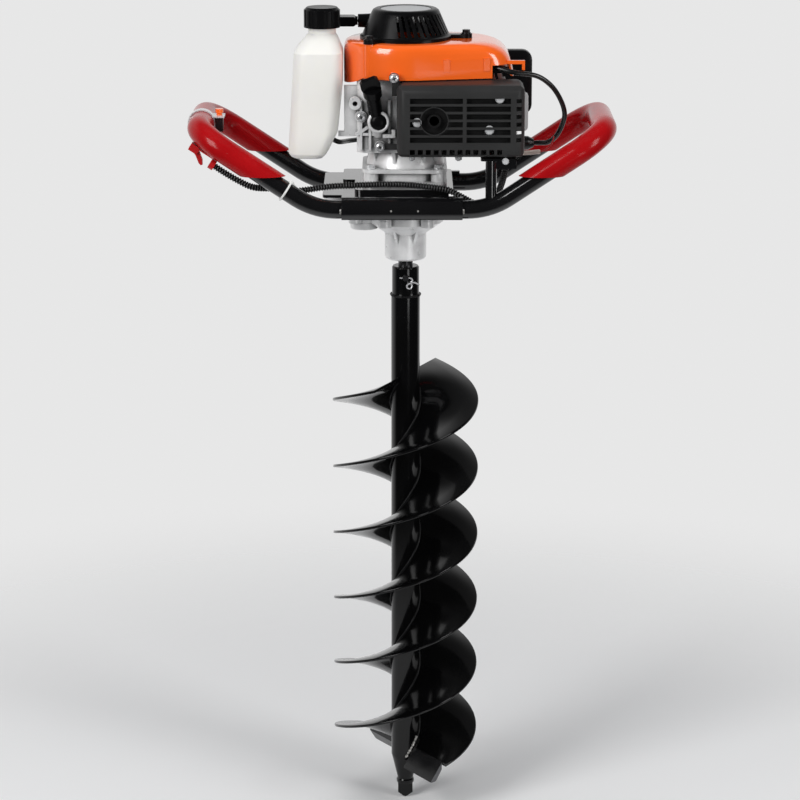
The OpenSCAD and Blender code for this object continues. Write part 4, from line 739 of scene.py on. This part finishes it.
def add_pan_heads():
    """Domed heads with a cross recess on the screws of guard and crankcase."""
    dome = [(6.1, 1.3), (6.1, 3.4), (5.6, 4.8), (4.4, 5.7), (2.6, 6.1), (0.6, 6.15)]
    seats = {"top": (-15.5, -90, 1060.5), "low": (-34.5, -67, 964.3), "front": (-60, -61, 1004)}
    recess_at = 6.0 * MM
    recess_r = [r * MM for r in (0.3, 0.75, 0.85, 0.75, 0.3)]
    for label, seat in seats.items():
        seat = MM * Vector(seat)
        add_turned(f"pan_head_{label}", dome, seat, (0, -1, 0), 28, "zinc_steel", 35)
        middle = seat - Vector((0, recess_at, 0))
        for bar, lean in (("a", 20), ("b", 110)):
            along = Vector((math.cos(math.radians(lean)), 0, math.sin(math.radians(lean))))
            path = [middle + along * reach * MM for reach in (-2.7, -2.2, 0, 2.2, 2.7)]
            add_tube(f"recess_{label}_{bar}", path, recess_r, "dark_steel", "machine", 8)


def add_oil_cradle():
    """Rounded rim round the foot of the oil neck, with a black floor inside it as painted shade."""
    seat = MM * Vector((-36.5, -66.9, 998))
    front = (0, -1, 0)
    rim = [(14.9, 0), (14.9, 1.2), (13.9, 2.4), (12.4, 2.7), (11.1, 2.1), (10.6, 0.9), (10.6, 0)]
    floor = [(10.8, 0), (10.8, 1.2), (10.2, 2.6), (8.6, 4.0), (5.6, 5.0), (0.5, 5.4)]
    add_turned("oil_cradle_rim", rim, seat, front, 40, "cast_aluminium", 40)
    # The black floor is painted shade round the foot of the neck
    add_turned("oil_cradle_painted_shade", floor, seat, front, 40, "black_plastic", 40)


# Bit
def helix_place(angle, share, radius, lift):
    """A place on a flight's helix, by its share of the height from the foot."""
    turn = angle - FLIGHT_TURN * (1 - share)
    z = FLIGHT_LOW + (FLIGHT_TOP - FLIGHT_LOW) * share + lift
    return Vector((radius * math.cos(turn), radius * math.sin(turn), z))


def add_flights():
    """Helical plates with a rounded rim, fine enough to shade smoothly."""
    steps = 480
    inner = TUBE_R + 0.2 * MM
    half = FLIGHT_T / 2
    rim = 1.2 * MM
    flat = FLIGHT_R - rim
    upper = [(inner + (flat - inner) * share, half) for share in (0, 0.25, 0.5, 0.75, 1)]
    for turn in (30, 60, 90):
        lean = math.radians(turn)
        upper.append((flat + rim * math.sin(lean), half - rim * (1 - math.cos(lean))))
    section = upper + [(radius, -lift) for radius, lift in reversed(upper)]
    faces = skin_faces(steps + 1, len(section))
    for label, angle in FLIGHTS.items():
        points = []
        for i in range(steps + 1):
            points += [helix_place(angle, i / steps, radius, lift) for radius, lift in section]
        plate = add_piece(f"flight_plate_{label}", points, faces, "bit_paint", "drill", 35)
        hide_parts(f"flight_{label}")


def add_weld_beads():
    """Fillets where the flights meet the tube, with the ripple of a weld."""
    bead_r = 1.9 * MM
    bead_at = TUBE_R + 0.4 * MM
    seam = FLIGHT_T / 2 + 0.5 * MM
    steps = 340
    for label, angle in FLIGHTS.items():
        for side, lift in (("over", seam), ("under", -seam)):
            path, radii = [], []
            for i in range(steps + 1):
                path.append(helix_place(angle, 0.004 + 0.992 * i / steps, bead_at, lift))
                radii.append(bead_r * ripple(1, i, (0.10, 2.6), (0.06, 0.7)))
            add_tube(f"weld_{label}_{side}", path, radii, "weld_metal", "drill", 8)


def add_blade_welds():
    """Bare, lumpy beads between the blades and the tube."""
    bead_at = TUBE_R + 0.6 * MM
    steps = 26
    for label, base in (("a", 180), ("b", 0)):
        path, radii = [], []
        for i in range(steps + 1):
            turn = math.radians(base - 38 - 50 * i / steps)
            place = bead_at * Vector((math.cos(turn), math.sin(turn), 0))
            path.append(place + Vector((0, 0, MM * (97 - 30 * i / steps))))
            radii.append(MM * ripple(1.6, i, (0.6, 1.9), (0.4, 0.8)))
        add_tube(f"blade_weld_{label}", path, radii, "bare_weld_and_painted_glint", "drill", 10)


def add_socket_weld():
    """Weld all round the tube at the socket's foot."""
    bead_r = 2.0 * MM
    bead_at = TUBE_R - 0.4 * MM
    steps = 72
    turns = [2 * math.pi * i / steps for i in range(steps)]
    path = [Vector((bead_at * math.cos(t), bead_at * math.sin(t), SOCKET_FOOT)) for t in turns]
    radii = [bead_r * ripple(1, t, (0.12, 9), (0.1, 23)) for t in turns]
    points, faces = loop_mesh(path, radii, (0, 0, 1), 8)
    add_piece("weld_socket", points, faces, "weld_metal", "drill", 70)


# Everything in its order
looks = make_looks()
add_camera()
add_studio()
own_shading = {"fuel_tank": smooth_group(16)}
usual_shading = smooth_group(32)
for name, node in nodes.items():
    node.data.materials.clear()
    node.data.materials.append(looks[OWN_LOOKS.get(name, slots[name])])
    node.modifiers.new("soft_shading", "NODES").node_group = own_shading.get(name, usual_shading)

add_loom()
add_lead()
add_stop_wire()
add_fuel_hose()
add_starter_rope()
add_tie()
add_tack_welds()
add_spot_welds()
add_guard_nuts()
add_pan_heads()
add_oil_cradle()
add_flights()
add_weld_beads()
add_blade_welds()
add_socket_weld()

bpy.context.scene.view_settings.view_transform = "Standard"
